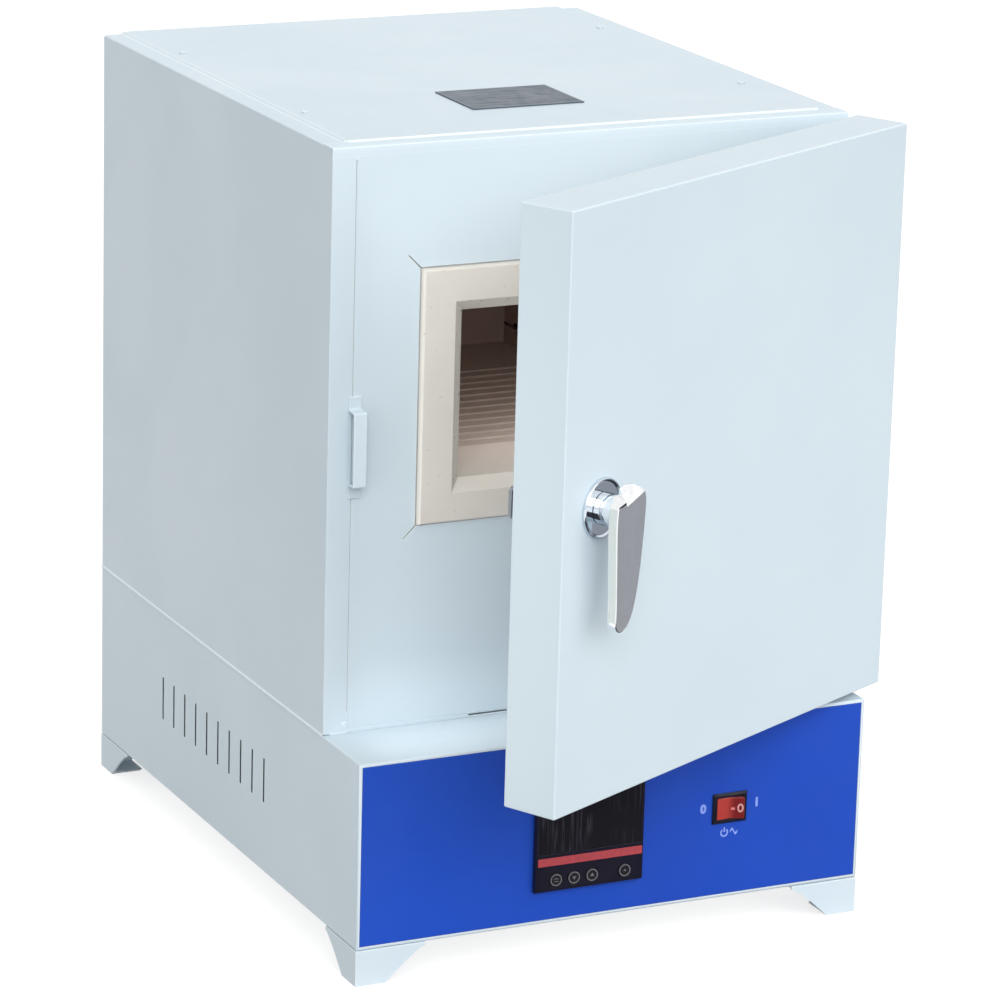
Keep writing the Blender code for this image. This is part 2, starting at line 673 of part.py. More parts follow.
def build_base_fittings():
    """The relay and terminal block on the base floor, and the cable gland at the rear."""
    floor_z = BASE_Z + SHEET + GAP
    blocks = (("relay", RELAY_SIZE, RELAY_PLACE, BLACK),
              ("terminal_block", TERMINAL_BLOCK_SIZE, TERMINAL_BLOCK_PLACE, CREAM_PLASTIC))
    for name, size, spot, finish in blocks:
        low = Vector((spot[0] - size[0] / 2, spot[1] - size[1] / 2, floor_z))
        box(name, low, low + Vector(size), finish, rounding=EDGE_ROUND, segments=1)
    bore, flange = GLAND_BORE_RADIUS, GLAND_FLANGE_RADIUS
    body, thread = GLAND_BODY_RADIUS, GLAND_THREAD_RADIUS
    tip = GLAND_FLANGE_LENGTH + GLAND_BODY_LENGTH
    profile = [(bore, tip), (body - EDGE_ROUND, tip), (body, tip - EDGE_ROUND), (body, GLAND_FLANGE_LENGTH),
               (flange, GLAND_FLANGE_LENGTH), (flange, 0), (thread, 0), (thread, -GLAND_THREAD_LENGTH),
               (bore, -GLAND_THREAD_LENGTH), (bore, tip)]
    rear = CASE_DEPTH + GAP + REAR_COVER_THICKNESS + GAP
    turned("cable_gland", profile, "Y", (GLAND_X, rear, BASE_Z + GLAND_RISE), BLACK)


def side_panel(name, side):
    """One side of the case: a tray whose flanges turn in at the front, rear, top and bottom."""
    outer = side * HALF_WIDTH
    edges = sorted((outer, outer - side * TOP_FLANGE))
    panel = box(name, (edges[0], 0, CASE_Z), (edges[1], CASE_DEPTH, TOP_Z), PAINT,
                rounding=EDGE_ROUND, segments=1)
    inside = sorted((outer - side * SHEET, outer - side * (TOP_FLANGE + OVERRUN)))
    cut(panel, box_cutter((inside[0], SHEET, CASE_Z + SHEET), (inside[1], CASE_DEPTH - SHEET, TOP_Z - SHEET)))
    trim = sorted((outer - side * SIDE_FLANGE, outer - side * (TOP_FLANGE + OVERRUN)))
    cut(panel, box_cutter((trim[0], -OVERRUN, CASE_Z - OVERRUN),
                          (trim[1], CASE_DEPTH + OVERRUN, TOP_Z - SHEET - EDGE_ROUND)))
    return panel


def build_case():
    """The upper case: sides, face, floor, top cover, rear panel and what is fastened to them."""
    side_panel("left_side_panel", -1)
    side_panel("right_side_panel", 1)
    face_x = HALF_WIDTH - SIDE_FLANGE - SEAM
    face = box("front_plate", (-face_x, 0, DECK_Z + FACE_LIFT), (face_x, FACE_TOP_FLANGE, TOP_Z), PAINT,
               rounding=EDGE_ROUND, segments=1)
    cut(face, box_cutter((-face_x - OVERRUN, SHEET, DECK_Z - OVERRUN),
                         (face_x + OVERRUN, FACE_TOP_FLANGE + OVERRUN, TOP_Z - SHEET)))
    ear_x = HALF_WIDTH - TOP_FLANGE - GAP
    ear_z = TOP_Z - SHEET - EDGE_ROUND - GAP
    for side in (-1, 1):
        ends = sorted((side * ear_x, side * (face_x + OVERRUN)))
        cut(face, box_cutter((ends[0], -OVERRUN, ear_z),
                             (ends[1], FACE_TOP_FLANGE + OVERRUN, TOP_Z + OVERRUN)))
    half = COLLAR_WIDTH / 2 + COLLAR_FIT
    low, high = COLLAR_BOTTOM - COLLAR_FIT, COLLAR_TOP + COLLAR_FIT
    cut(face, box_cutter((-half, -OVERRUN, low), (half, SHEET + OVERRUN, high)))
    for side in (-1, 1):
        for corner_z, lean in ((low, -1), (high, 1)):
            slit = box_cutter((side * half - SLIT_WIDTH / 2, -OVERRUN, corner_z - SLIT_LENGTH),
                              (side * half + SLIT_WIDTH / 2, SHEET + OVERRUN, corner_z + SLIT_LENGTH),
                              turn_y=math.radians(MITRE_DEG) * side * lean)
            cut(face, slit)

    fit = HALF_WIDTH - SHEET - GAP
    floor = box("case_floor", (-fit, SHEET + GAP, CASE_FLOOR_Z),
                (fit, CASE_DEPTH - SHEET - GAP, CASE_FLOOR_Z + SHEET), ZINC)
    cut(floor, wiring_hole(CASE_FLOOR_Z))

    cover_x = HALF_WIDTH - COVER_EDGE_INSET
    cover_z = TOP_Z + GAP
    cover = box("top_cover", (-cover_x, COVER_FRONT_INSET, cover_z),
                (cover_x, CASE_DEPTH + GAP + REAR_COVER_THICKNESS, cover_z + SHEET), PAINT)
    number = 0
    for side in (-1, 1):
        x = side * (HALF_WIDTH - COVER_SCREW_INSET)
        for row in range(2):
            number += 1
            y = COVER_SCREW_FRONT + row * COVER_SCREW_PITCH
            hole = rod_cutter("Z", (x, y, TOP_Z - OVERRUN), (x, y, TOP_Z + OVERRUN),
                              SCREW_SHANK_RADIUS + GAP, steps=SMALL_STEPS)
            cut(cover, hole)
            cut(bpy.data.objects["left_side_panel" if side < 0 else "right_side_panel"], hole)
            top_screw("top_cover_screw_" + str(number), x, y, cover_z + SHEET + GAP)

    half_x, half_y = NAME_PLATE_WIDTH / 2, NAME_PLATE_DEPTH / 2
    plate_z = cover_z + SHEET + GAP
    box("name_plate", (NAME_PLATE_X - half_x, NAME_PLATE_Y - half_y, plate_z),
        (NAME_PLATE_X + half_x, NAME_PLATE_Y + half_y, plate_z + NAME_PLATE_THICKNESS), PLATE_GREY)

    rear_x = HALF_WIDTH - REAR_WINDOW_BORDER + REAR_COVER_LAP
    rear_y = CASE_DEPTH + GAP
    rear = box("rear_panel", (-rear_x, rear_y, CASE_Z), (rear_x, rear_y + REAR_COVER_THICKNESS, TOP_Z), PAINT)
    probe_z = probe_height()
    cut(rear, rod_cutter("Y", (0, rear_y - OVERRUN, probe_z), (0, rear_y + OVERRUN, probe_z),
                         PROBE_RADIUS + GAP, steps=SMALL_STEPS))


def top_screw(name, x, y, z):
    """A pan-head screw standing on the cover at height z."""
    head, shank = SCREW_HEAD_RADIUS, SCREW_SHANK_RADIUS
    rise = SCREW_HEAD_HEIGHT
    profile = [(head * out, rise * up) for out, up in SCREW_DOME_SHARES]
    profile += [(shank, 0), (shank, -SCREW_SHANK_LENGTH), (0, -SCREW_SHANK_LENGTH)]
    return turned(name, profile, "Z", (x, y, z), ZINC, steps=SMALL_STEPS)


def probe_height():
    """The thermocouple's height: above the chamber's mid height."""
    return MOUTH_Z + MOUTH_HEIGHT / 2 + PROBE_RISE


def heater_heights():
    """The heights of the heating wire's runs, evenly spread over the side wall."""
    pitch = MOUTH_HEIGHT / HEATER_RUNS
    return [MOUTH_Z + pitch * (run + 1 / 2) for run in range(HEATER_RUNS)]


def build_chamber():
    """The mouth collar, the fired brick chamber, its hearth plate, heating wires and probe."""
    half_outer = COLLAR_WIDTH / 2
    half_mouth = MOUTH_WIDTH / 2
    collar = front_rounded_box("mouth_collar", (-half_outer, -COLLAR_PROUD, COLLAR_BOTTOM),
                               (half_outer, THROAT_DEPTH, COLLAR_TOP), CERAMIC, COLLAR_ROUND)
    cut(collar, box_cutter((-half_mouth, -COLLAR_PROUD - OVERRUN, MOUTH_Z),
                           (half_mouth, THROAT_DEPTH + OVERRUN, MOUTH_TOP)))
    reach = MOUTH_CHAMFER + OVERRUN
    cut(collar, funnel_cutter((-half_mouth, -COLLAR_PROUD - OVERRUN, MOUTH_Z),
                              (half_mouth, -COLLAR_PROUD + MOUTH_CHAMFER, MOUTH_TOP), reach))

    brick = box("chamber", (-half_outer, CHAMBER_FRONT, COLLAR_BOTTOM),
                (half_outer, BRICK_END, COLLAR_TOP), BRICK)
    floor_z = MOUTH_Z - HEARTH_THICKNESS - GAP
    cut(brick, box_cutter((-half_mouth, CHAMBER_FRONT - OVERRUN, floor_z),
                          (half_mouth, CHAMBER_END, MOUTH_TOP)))
    heights = heater_heights()
    front_y, back_y = CHAMBER_FRONT + HEATER_END_INSET, CHAMBER_END - HEATER_END_INSET
    slot = HEATER_CHANNEL / 2
    rear = box("insulation_rear", (-HALF_WIDTH + SHEET + GAP, BRICK_END + GAP, CASE_FLOOR_Z + SHEET + GAP),
               (HALF_WIDTH - SHEET - GAP, INSULATION_END, TOP_Z - SHEET - GAP), FIBRE)
    for side in (-1, 1):
        wall = side * half_mouth
        x = wall + side * (HEATER_RADIUS + GAP)
        span = sorted((wall - side * OVERRUN, wall + side * HEATER_CHANNEL))
        for height in heights:
            cut(brick, box_cutter((span[0], front_y - slot, height - slot),
                                  (span[1], back_y + slot, height + slot)))
        for step in range(HEATER_RUNS - 1):
            y = front_y if step % 2 == 0 else back_y
            cut(brick, box_cutter((span[0], y - slot, heights[step]), (span[1], y + slot, heights[step + 1])))
        points = []
        for run, height in enumerate(heights):
            ends = [back_y, front_y] if run % 2 == 0 else [front_y, back_y]
            points += [(x, y, height) for y in ends]
        tail = INSULATION_END + HEATER_TAIL
        points[0] = (x, tail, heights[0])
        points[-1] = (x, tail, heights[-1])
        wire("heater_left" if side < 0 else "heater_right", points)
        for height in (heights[0], heights[-1]):
            tool = rod_cutter("Y", (x, back_y, height), (x, INSULATION_END + OVERRUN, height),
                              HEATER_RADIUS + GAP * 2, steps=SMALL_STEPS)
            cut(brick, tool)
            cut(rear, tool)

    probe_z = probe_height()
    shaft = rod_cutter("Y", (0, CHAMBER_END - OVERRUN, probe_z), (0, INSULATION_END + OVERRUN, probe_z),
                       PROBE_RADIUS + GAP, steps=SMALL_STEPS)
    cut(brick, shaft)
    cut(rear, shaft)
    rear_face = CASE_DEPTH + GAP + REAR_COVER_THICKNESS + GAP
    rod("thermocouple_sheath", "Y", (0, CHAMBER_END - PROBE_REACH, probe_z),
        (0, rear_face + PROBE_NECK_LENGTH / 2, probe_z), PROBE_RADIUS, CERAMIC, steps=SMALL_STEPS)
    neck, head = PROBE_NECK_RADIUS, PROBE_HEAD_RADIUS
    tip = PROBE_NECK_LENGTH + PROBE_HEAD_LENGTH
    profile = [(0, tip), (head - COLLAR_ROUND, tip), (head, tip - COLLAR_ROUND), (head, PROBE_NECK_LENGTH),
               (neck, PROBE_NECK_LENGTH), (neck, 0), (PROBE_RADIUS + GAP, 0),
               (PROBE_RADIUS + GAP, PROBE_NECK_LENGTH / 2 + GAP), (0, PROBE_NECK_LENGTH / 2 + GAP)]
    turned("thermocouple_head", profile, "Y", (0, rear_face, probe_z), CAST)

    hearth_plate(half_mouth - GAP, floor_z + GAP)


def hearth_plate(half_width, bottom):
    """The loose hearth plate, with shallow grooves across its top near the mouth."""
    length = CHAMBER_END - CHAMBER_FRONT - GAP * 2
    top = HEARTH_THICKNESS
    profile = [(0, 0), (length, 0), (length, top)]
    for number in reversed(range(HEARTH_GROOVE_COUNT)):
        far = HEARTH_GROOVE_PITCH * (number + 1)
        near = far - HEARTH_GROOVE_WIDTH
        trough = top - HEARTH_GROOVE_DEPTH
        profile += [(far, top), (far, trough), (near, trough), (near, top)]
    profile.append((0, top))
    return plate("hearth_plate", "YZ", profile, half_width * 2, (0, CHAMBER_FRONT + GAP, bottom), BRICK)


def wire(name, points):
    """A heating wire that follows the given corners."""
    curve = bpy.data.curves.new(name, "CURVE")
    curve.dimensions = "3D"
    curve.bevel_depth = HEATER_RADIUS
    curve.bevel_resolution = 1
    curve.use_fill_caps = True
    spline = curve.splines.new("POLY")
    spline.points.add(len(points) - 1)
    for point, corner in zip(spline.points, points):
        point.co = (*corner, 1)
    made = bpy.data.objects.new(name, curve)
    curve.materials.append(WIRE)
    kiln.objects.link(made)
    made.parent = ROOT
    return made


def build_insulation():
    """The fibre blocks above, below and beside the collar and the chamber."""
    outer_x = HALF_WIDTH - SHEET - GAP
    front, rear = SHEET + GAP, BRICK_END
    low, high = CASE_FLOOR_Z + SHEET + GAP, TOP_Z - SHEET - GAP
    inner_x = COLLAR_WIDTH / 2 + GAP
    box("insulation_bottom", (-outer_x, front, low), (outer_x, rear, COLLAR_BOTTOM - GAP), FIBRE)
    top = box("insulation_top", (-outer_x, front, COLLAR_TOP + GAP), (outer_x, rear, high), FIBRE)
    box("insulation_left", (-outer_x, front, COLLAR_BOTTOM), (-inner_x, rear, COLLAR_TOP), FIBRE)
    box("insulation_right", (inner_x, front, COLLAR_BOTTOM), (outer_x, rear, COLLAR_TOP), FIBRE)
    screw_floor = TOP_Z - SCREW_SHANK_LENGTH - OVERRUN
    x = HALF_WIDTH - COVER_SCREW_INSET
    for side in (-1, 1):
        for row in range(2):
            y = COVER_SCREW_FRONT + row * COVER_SCREW_PITCH
            cut(top, rod_cutter("Z", (side * x, y, screw_floor), (side * x, y, TOP_Z + OVERRUN),
                                SCREW_SHANK_RADIUS + GAP, steps=SMALL_STEPS))


def build_keeper():
    """The latch's keeper: a bent strap that stands off the face beside the door's free edge."""
    sheet, reach, splay = KEEPER_SHEET, KEEPER_REACH, KEEPER_LIMB_SPLAY
    half = KEEPER_PLATE_HEIGHT / 2
    foot_end = half + splay + KEEPER_FOOT
    outer = [(-sheet, foot_end), (-sheet, half + splay), (-reach, half)]
    inner = [(-reach + sheet, half - sheet), (0, half + splay - sheet), (0, foot_end)]
    upper = [(y - GAP, z) for y, z in outer + inner]
    outer_line = [(y, z) for y, z in upper[:3]]
    inner_line = [(y, z) for y, z in upper[3:]]
    profile = outer_line + [(y, -z) for y, z in reversed(outer_line)]
    profile += [(y, -z) for y, z in reversed(inner_line)] + inner_line
    x = -HALF_WIDTH + KEEPER_EDGE_INSET + KEEPER_WIDTH / 2
    plate("keeper", "YZ", profile, KEEPER_WIDTH, (x, 0, HANDLE_Z - KEEPER_DROP), PAINT)


def build_hinges():
    """Two barrel hinges: the lower half is on the case, the upper half on the door."""
    x, y = HINGE_AXIS.x, HINGE_AXIS.y
    centres = {"upper": DOOR_TOP - HINGE_END_INSET, "lower": DOOR_BOTTOM + HINGE_END_INSET}
    half_tab = HINGE_TAB_WIDTH / 2
    for name, z in centres.items():
        low, high = z - HINGE_HALF_LENGTH, z + HINGE_HALF_LENGTH
        bore_low, bore_high = (x, y, low - OVERRUN), (x, y, high + OVERRUN)
        fixed = rod("hinge_" + name + "_case_half", "Z", (x, y, low), (x, y, z - GAP / 2),
                    HINGE_BARREL_RADIUS, PAINT)
        join(fixed, box_cutter((x - half_tab, y, low), (x + half_tab, -GAP, z - GAP / 2)))
        cut(fixed, rod_cutter("Z", bore_low, bore_high, HINGE_PIN_RADIUS + GAP))
        swing = rod("hinge_" + name + "_door_half", "Z", (x, y, z + GAP / 2), (x, y, high),
                    HINGE_BARREL_RADIUS, PAINT, DOOR)
        join(swing, box_cutter((x - HINGE_TAB_WIDTH, DOOR_BACK + GAP, z + GAP / 2), (x, y, high), DOOR))
        cut(swing, rod_cutter("Z", bore_low, bore_high, HINGE_PIN_RADIUS + GAP, DOOR))
        head, pin, rise = HINGE_PIN_HEAD_RADIUS, HINGE_PIN_RADIUS, HINGE_PIN_HEAD_HEIGHT
        length = high - low
        profile = [(head * out, rise * up) for out, up in HINGE_PIN_DOME_SHARES]
        profile += [(pin, 0), (pin, -length), (0, -length)]
        turned("hinge_" + name + "_pin", profile, "Z", (x, y, high + GAP), ZINC)


def build_door():
    """The door: a folded shell with its fibre filling, back plate and ceramic plug."""
    shell = box("door_shell", (DOOR_LEFT, DOOR_FRONT, DOOR_BOTTOM),
                (DOOR_RIGHT, DOOR_BACK, DOOR_TOP), PAINT, DOOR, rounding=EDGE_ROUND)
    cut(shell, box_cutter((DOOR_LEFT + SHEET, DOOR_FRONT + SHEET, DOOR_BOTTOM + SHEET),
                          (DOOR_RIGHT - SHEET, DOOR_BACK - SHEET, DOOR_TOP - SHEET), DOOR))
    cut(shell, box_cutter((DOOR_LEFT + DOOR_LIP, DOOR_BACK - SHEET - OVERRUN, DOOR_BOTTOM + DOOR_LIP),
                          (DOOR_RIGHT - DOOR_LIP, DOOR_BACK + OVERRUN, DOOR_TOP - DOOR_LIP), DOOR))
    spindle_front = (HANDLE_X, DOOR_FRONT - OVERRUN, HANDLE_Z)
    spindle_back = (HANDLE_X, DOOR_BACK + OVERRUN, HANDLE_Z)
    hole = rod_cutter("Y", spindle_front, spindle_back, SPINDLE_RADIUS + SPINDLE_CLEARANCE, DOOR)
    cut(shell, hole)

    pad_x = COLLAR_WIDTH / 2 - PLUG_PAD_INSET
    pad_low, pad_high = COLLAR_BOTTOM + PLUG_PAD_INSET, COLLAR_TOP - PLUG_PAD_INSET
    seat_y = DOOR_BACK - SHEET - PLUG_SEAT_DEPTH
    face_y = -COLLAR_PROUD - GAP
    plug = box("door_plug", (-pad_x, seat_y, pad_low), (pad_x, face_y, pad_high), CERAMIC, DOOR,
               rounding=COLLAR_ROUND)
    boss_x = MOUTH_WIDTH / 2 - PLUG_BOSS_CLEARANCE
    tip_x = boss_x - PLUG_BOSS_TAPER
    margin = PLUG_BOSS_CLEARANCE + PLUG_BOSS_TAPER
    boss = funnel_cutter((-tip_x, face_y - OVERRUN, MOUTH_Z + margin),
                         (tip_x, face_y + PLUG_BOSS_DEPTH, MOUTH_TOP - margin), PLUG_BOSS_TAPER, DOOR)
    join(plug, boss)

    inner = SHEET + GAP
    filling = box("door_insulation", (DOOR_LEFT + inner, DOOR_FRONT + inner, DOOR_BOTTOM + inner),
                  (DOOR_RIGHT - inner, DOOR_BACK - inner, DOOR_TOP - inner), FIBRE, DOOR)
    cut(filling, box_cutter((-pad_x - GAP, seat_y - GAP, pad_low - GAP),
                            (pad_x + GAP, DOOR_BACK + OVERRUN, pad_high + GAP), DOOR), hole)

    back_y = DOOR_BACK + GAP
    back_right, back_top = DOOR_RIGHT - BACK_PLATE_HINGE_INSET, DOOR_TOP - BACK_PLATE_INSET
    back = box("door_back_plate", (DOOR_LEFT + BACK_PLATE_INSET, back_y, DOOR_BOTTOM + BACK_PLATE_INSET),
               (back_right, back_y + BACK_PLATE_THICKNESS, back_top), ZINC, DOOR)
    cut(back, box_cutter((-pad_x - GAP, back_y - OVERRUN, pad_low - GAP),
                         (pad_x + GAP, back_y + OVERRUN, pad_high + GAP), DOOR), hole)


def lever_outline():
    """The lever's face: a broad head at the spindle that tapers down to a round tip."""
    head = LEVER_HEAD_RADIUS
    tip_centre = -LEVER_LENGTH + LEVER_TIP_RADIUS
    crown = head * LEVER_CROWN_SHARE
    shoulder, waist = LEVER_HEAD_RISE * LEVER_SHOULDER_SHARE, -head * LEVER_WAIST_SHARE
    top = [(head, shoulder), (crown, LEVER_HEAD_RISE), (-crown, LEVER_HEAD_RISE), (-head, shoulder),
           (-head, waist)]
    return top + arc(LEVER_TIP_RADIUS, 180, 360, LEVER_TIP_STEPS, (0, tip_centre)) + [(head, waist)]


def build_handle():
    """The handle: rosette on the door; lever, spindle, tongue and nut turn together."""
    x, z = HANDLE_X, HANDLE_Z
    base = DOOR_FRONT - GAP
    bore = SPINDLE_RADIUS + SPINDLE_CLEARANCE
    inner = ROSETTE_RADIUS - ROSETTE_RIM
    profile = [(bore, ROSETTE_HEIGHT), (NECK_RADIUS, ROSETTE_HEIGHT), (inner, ROSETTE_EDGE),
               (ROSETTE_RADIUS - ROSETTE_EDGE, ROSETTE_RIM_RISE), (ROSETTE_RADIUS, ROSETTE_EDGE),
               (ROSETTE_RADIUS, 0), (bore, 0), (bore, ROSETTE_HEIGHT)]
    rosette = turned("handle_rosette", profile, "Y", (x, base, z), CHROME, DOOR)
    rosette.rotation_euler = (math.radians(90), 0, 0)

    neck_back = base - ROSETTE_HEIGHT - GAP
    lever_back = neck_back - NECK_LENGTH
    lever = plate("handle_lever", "XZ", lever_outline(), LEVER_THICKNESS,
                  (x, lever_back - LEVER_THICKNESS / 2, z), CHROME, HANDLE)
    bevel = lever.modifiers.new("edges", "BEVEL")
    bevel.width = LEVER_ROUND
    bevel.segments = 2
    bevel.limit_method = "ANGLE"
    face_y = lever_back - LEVER_THICKNESS
    brow_z = z + LEVER_HEAD_RISE / 2
    brow = box_cutter((x - LEVER_LENGTH, face_y + LEVER_BROW_BITE - LEVER_BROW_SIZE / 2, brow_z),
                      (x + LEVER_LENGTH, face_y + LEVER_BROW_BITE, brow_z + LEVER_BROW_SIZE), HANDLE)
    brow.rotation_euler = (math.radians(-LEVER_BROW_DEG), 0, 0)
    cut(lever, brow)
    socket_y = lever_back - LEVER_THICKNESS / 2
    join(lever, rod_cutter("Y", (x, socket_y, z), (x, neck_back, z), NECK_RADIUS, HANDLE))
    cut(lever, rod_cutter("Y", (x, socket_y, z), (x, neck_back + OVERRUN, z), SPINDLE_RADIUS + GAP, HANDLE))

    tongue_back = -TONGUE_FACE_GAP
    tongue_front = tongue_back - TONGUE_THICKNESS
    nut_end = tongue_back + GAP + NUT_HEIGHT
    rod("handle_spindle", "Y", (x, socket_y + GAP, z), (x, nut_end, z), SPINDLE_RADIUS, ZINC, HANDLE)
    half = TONGUE_HEIGHT / 2
    corner = TONGUE_THICKNESS
    shape = [(-TONGUE_REACH + corner, -half), (TONGUE_TAIL - corner, -half), (TONGUE_TAIL, -half + corner),
             (TONGUE_TAIL, half - corner), (TONGUE_TAIL - corner, half), (-TONGUE_REACH + corner, half),
             (-TONGUE_REACH, half - corner), (-TONGUE_REACH, -half + corner)]
    tongue = plate("latch_tongue", "XZ", shape, TONGUE_THICKNESS, (x, (tongue_back + tongue_front) / 2, z),
                   ZINC, HANDLE)
    cut(tongue, rod_cutter("Y", (x, tongue_front - OVERRUN, z), (x, tongue_back + OVERRUN, z),
                           SPINDLE_RADIUS + GAP, HANDLE))
    nut = rod("latch_nut", "Y", (x, tongue_back + GAP, z), (x, nut_end, z), NUT_RADIUS, ZINC, HANDLE,
              NUT_SIDES)
    cut(nut, rod_cutter("Y", (x, tongue_back - OVERRUN, z), (x, nut_end + OVERRUN, z),
                        SPINDLE_RADIUS + GAP, HANDLE))
    lever.matrix_local = Matrix.Rotation(math.radians(LEVER_LEAN_DEG), 4, "Y") @ lever.matrix_local


def set_origin():
    """Move the root so that the origin is under the middle of the whole object, on the floor."""
    bpy.context.view_layer.update()
    shapes = bpy.context.evaluated_depsgraph_get()
    spots = []
    for piece in kiln.objects:
        if piece.type != "EMPTY":
            shown = piece.evaluated_get(shapes)
            surface = shown.to_mesh()
            spots += [piece.matrix_world @ vertex.co for vertex in surface.vertices]
            shown.to_mesh_clear()
    low = Vector([min(spot[axis] for spot in spots) for axis in range(3)])
    high = Vector([max(spot[axis] for spot in spots) for axis in range(3)])
    ROOT.location = (-(low.x + high.x) / 2, -(low.y + high.y) / 2, 0)


build_feet()
build_base()
build_controller()
build_switch()
build_base_fittings()
build_case()
build_chamber()
build_insulation()
build_keeper()
build_hinges()
build_door()
build_handle()
DOOR.rotation_euler = (0, 0, math.radians(DOOR_OPEN_DEG))
set_origin()
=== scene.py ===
# Electric pottery kiln: the finishes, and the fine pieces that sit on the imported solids.
# Lengths are metres. Kiln coordinates are the ones the part is drawn in: the floor is z = 0,
# the case's face is y = 0 and its middle is x = 0. The door and what hangs on it are drawn
# shut, and the rocker between its two ends, and each is then put where it stands in the
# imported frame.

import math

import bmesh
import bpy
from mathutils import Matrix, Vector


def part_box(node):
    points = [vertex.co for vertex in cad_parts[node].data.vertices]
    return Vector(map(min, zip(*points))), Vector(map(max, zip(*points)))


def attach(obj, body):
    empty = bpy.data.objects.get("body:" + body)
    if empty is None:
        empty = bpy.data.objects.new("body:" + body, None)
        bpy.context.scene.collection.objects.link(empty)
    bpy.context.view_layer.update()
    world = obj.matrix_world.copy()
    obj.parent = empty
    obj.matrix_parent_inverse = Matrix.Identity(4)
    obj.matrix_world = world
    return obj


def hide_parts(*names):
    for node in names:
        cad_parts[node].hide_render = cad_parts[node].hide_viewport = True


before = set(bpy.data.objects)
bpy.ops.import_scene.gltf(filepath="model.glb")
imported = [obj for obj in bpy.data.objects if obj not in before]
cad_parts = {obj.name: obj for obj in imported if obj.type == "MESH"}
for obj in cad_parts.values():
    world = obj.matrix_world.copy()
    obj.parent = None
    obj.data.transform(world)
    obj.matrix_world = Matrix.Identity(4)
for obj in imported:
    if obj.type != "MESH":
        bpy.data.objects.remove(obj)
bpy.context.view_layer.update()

# The kiln's main sizes: half the widths of the case and its cover, the ledge in front of the
# face, how high the deck, the case and the cover reach, and where the cover and the rear
# sheets start and end in the depth
HALF_CASE = 0.225
HALF_COVER = 0.2055
LEDGE = 0.072
DECK = 0.185
CASE_TOP = 0.657
COVER_TOP = 0.659
COVER_FRONT = 0.017
COVER_REAR = 0.4900
REAR_SKIN = 0.4906
SIDES = ((-1, "left"), (1, "right"))

# Where the kiln, its door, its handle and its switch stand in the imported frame
base_low, base_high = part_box("base_case")
KILN = Matrix.Translation(((base_low.x + base_high.x) / 2, base_low.y + LEDGE, 0))
HINGE_AXIS = Vector((0.2215, -0.0075, 0))
HANDLE_AXIS = Vector((-0.1749, -0.0625, 0.426))
SWITCH_AXIS = Vector((0.103, -LEDGE, 0.1072))
AJAR = Matrix.Rotation(math.radians(27), 4, "Z")
LEVER_LEAN = Matrix.Rotation(math.radians(4.4), 4, "Y")
ROCKER_TILT = Matrix.Rotation(math.radians(-8), 4, "Z")
DOOR = KILN @ Matrix.Translation(HINGE_AXIS) @ AJAR @ Matrix.Translation(-HINGE_AXIS)
LEVER = DOOR @ Matrix.Translation(HANDLE_AXIS) @ LEVER_LEAN
ROCKER = KILN @ Matrix.Translation(SWITCH_AXIS) @ ROCKER_TILT

# Turns that stand a piece drawn lying flat up against a wall
TO_FRONT = Matrix.Rotation(math.radians(90), 4, "X")
TO_REAR = Matrix.Rotation(math.radians(-90), 4, "X")
TO_TOP = Matrix.Identity(4)

# How far a print and a ruled line stand up, and the hair by which paint sinks into the sheet
# below it or stops short of an edge
PRINT_RISE = 0.00006
LINE_RISE = 0.00008
HAIR = 0.0002

# Colours that several finishes or pieces share, and the main ones
PALE_BLUE_GREY = (0.672, 0.775, 0.838)
PALE_SHADE = (0.630, 0.738, 0.806)
# The pale paint's painted highlight colour on its folds
PALE_EDGE_HIGHLIGHT = (0.90, 0.96, 0.98)
PAINT_NICK = (0.23, 0.24, 0.25)
PANEL_BLUE = (0.012, 0.082, 0.560)
PANEL_BLUE_DEEP = (0.013, 0.062, 0.450)
# The blue paint's painted highlight colour on its folds
PANEL_BLUE_EDGE_HIGHLIGHT = (0.10, 0.20, 0.70)
HOUSE_DUST = (0.52, 0.52, 0.50)
PRINT_LIGHT_BLUE = (0.27, 0.38, 0.93)

# The share of the white surroundings' light that falls on the kiln
AMBIENT = 0.60


def feed(tree, socket, value):
    """Give an input a plain value, or join it to another node's output."""
    if isinstance(value, bpy.types.NodeSocket):
        tree.links.new(value, socket)
    elif socket.type == "RGBA":
        socket.default_value = (*value, 1.0)
    else:
        socket.default_value = value


def put(tree, kind, feeds=None, **settings):
    """A node with its settings and inputs."""
    made = tree.nodes.new(kind)
    for name, value in settings.items():
        setattr(made, name, value)
    for name, value in (feeds or {}).items():
        feed(tree, made.inputs[name], value)
    return made


def maths(tree, how, *values, clamp=False):
    made = put(tree, "ShaderNodeMath", dict(enumerate(values)), operation=how, use_clamp=clamp)
    return made.outputs[0]


def times(tree, first, second, clamp=False):
    return maths(tree, "MULTIPLY", first, second, clamp=clamp)


def stretch(tree, value, low, high, to_low=0.0, to_high=1.0):
    """The value's part between low and high, stretched to run from to_low to to_high."""
    made = put(tree, "ShaderNodeMapRange", {"Value": value, "From Min": low, "From Max": high,
                                            "To Min": to_low, "To Max": to_high}, clamp=True)
    return made.outputs["Result"]


def mixed(tree, share, under, over):
    made = put(tree, "ShaderNodeMix", {0: share, 6: under, 7: over}, data_type="RGBA")
    return made.outputs[2]


def tinted(tree, under, over, mask, strength):
    """A colour laid over another one where a mask is, at a share of its full strength."""
    return mixed(tree, times(tree, mask, strength), under, over)


def noise(tree, place, scale, detail=3.0, roughness=0.5, distortion=0.0):
    made = put(tree, "ShaderNodeTexNoise", {"Vector": place, "Scale": scale, "Detail": detail,
                                            "Roughness": roughness, "Distortion": distortion})
    return made.outputs[0]


def own_place(tree):
    """A point's place on the piece itself, which moves with the piece."""
    return put(tree, "ShaderNodeTexCoord").outputs["Object"]


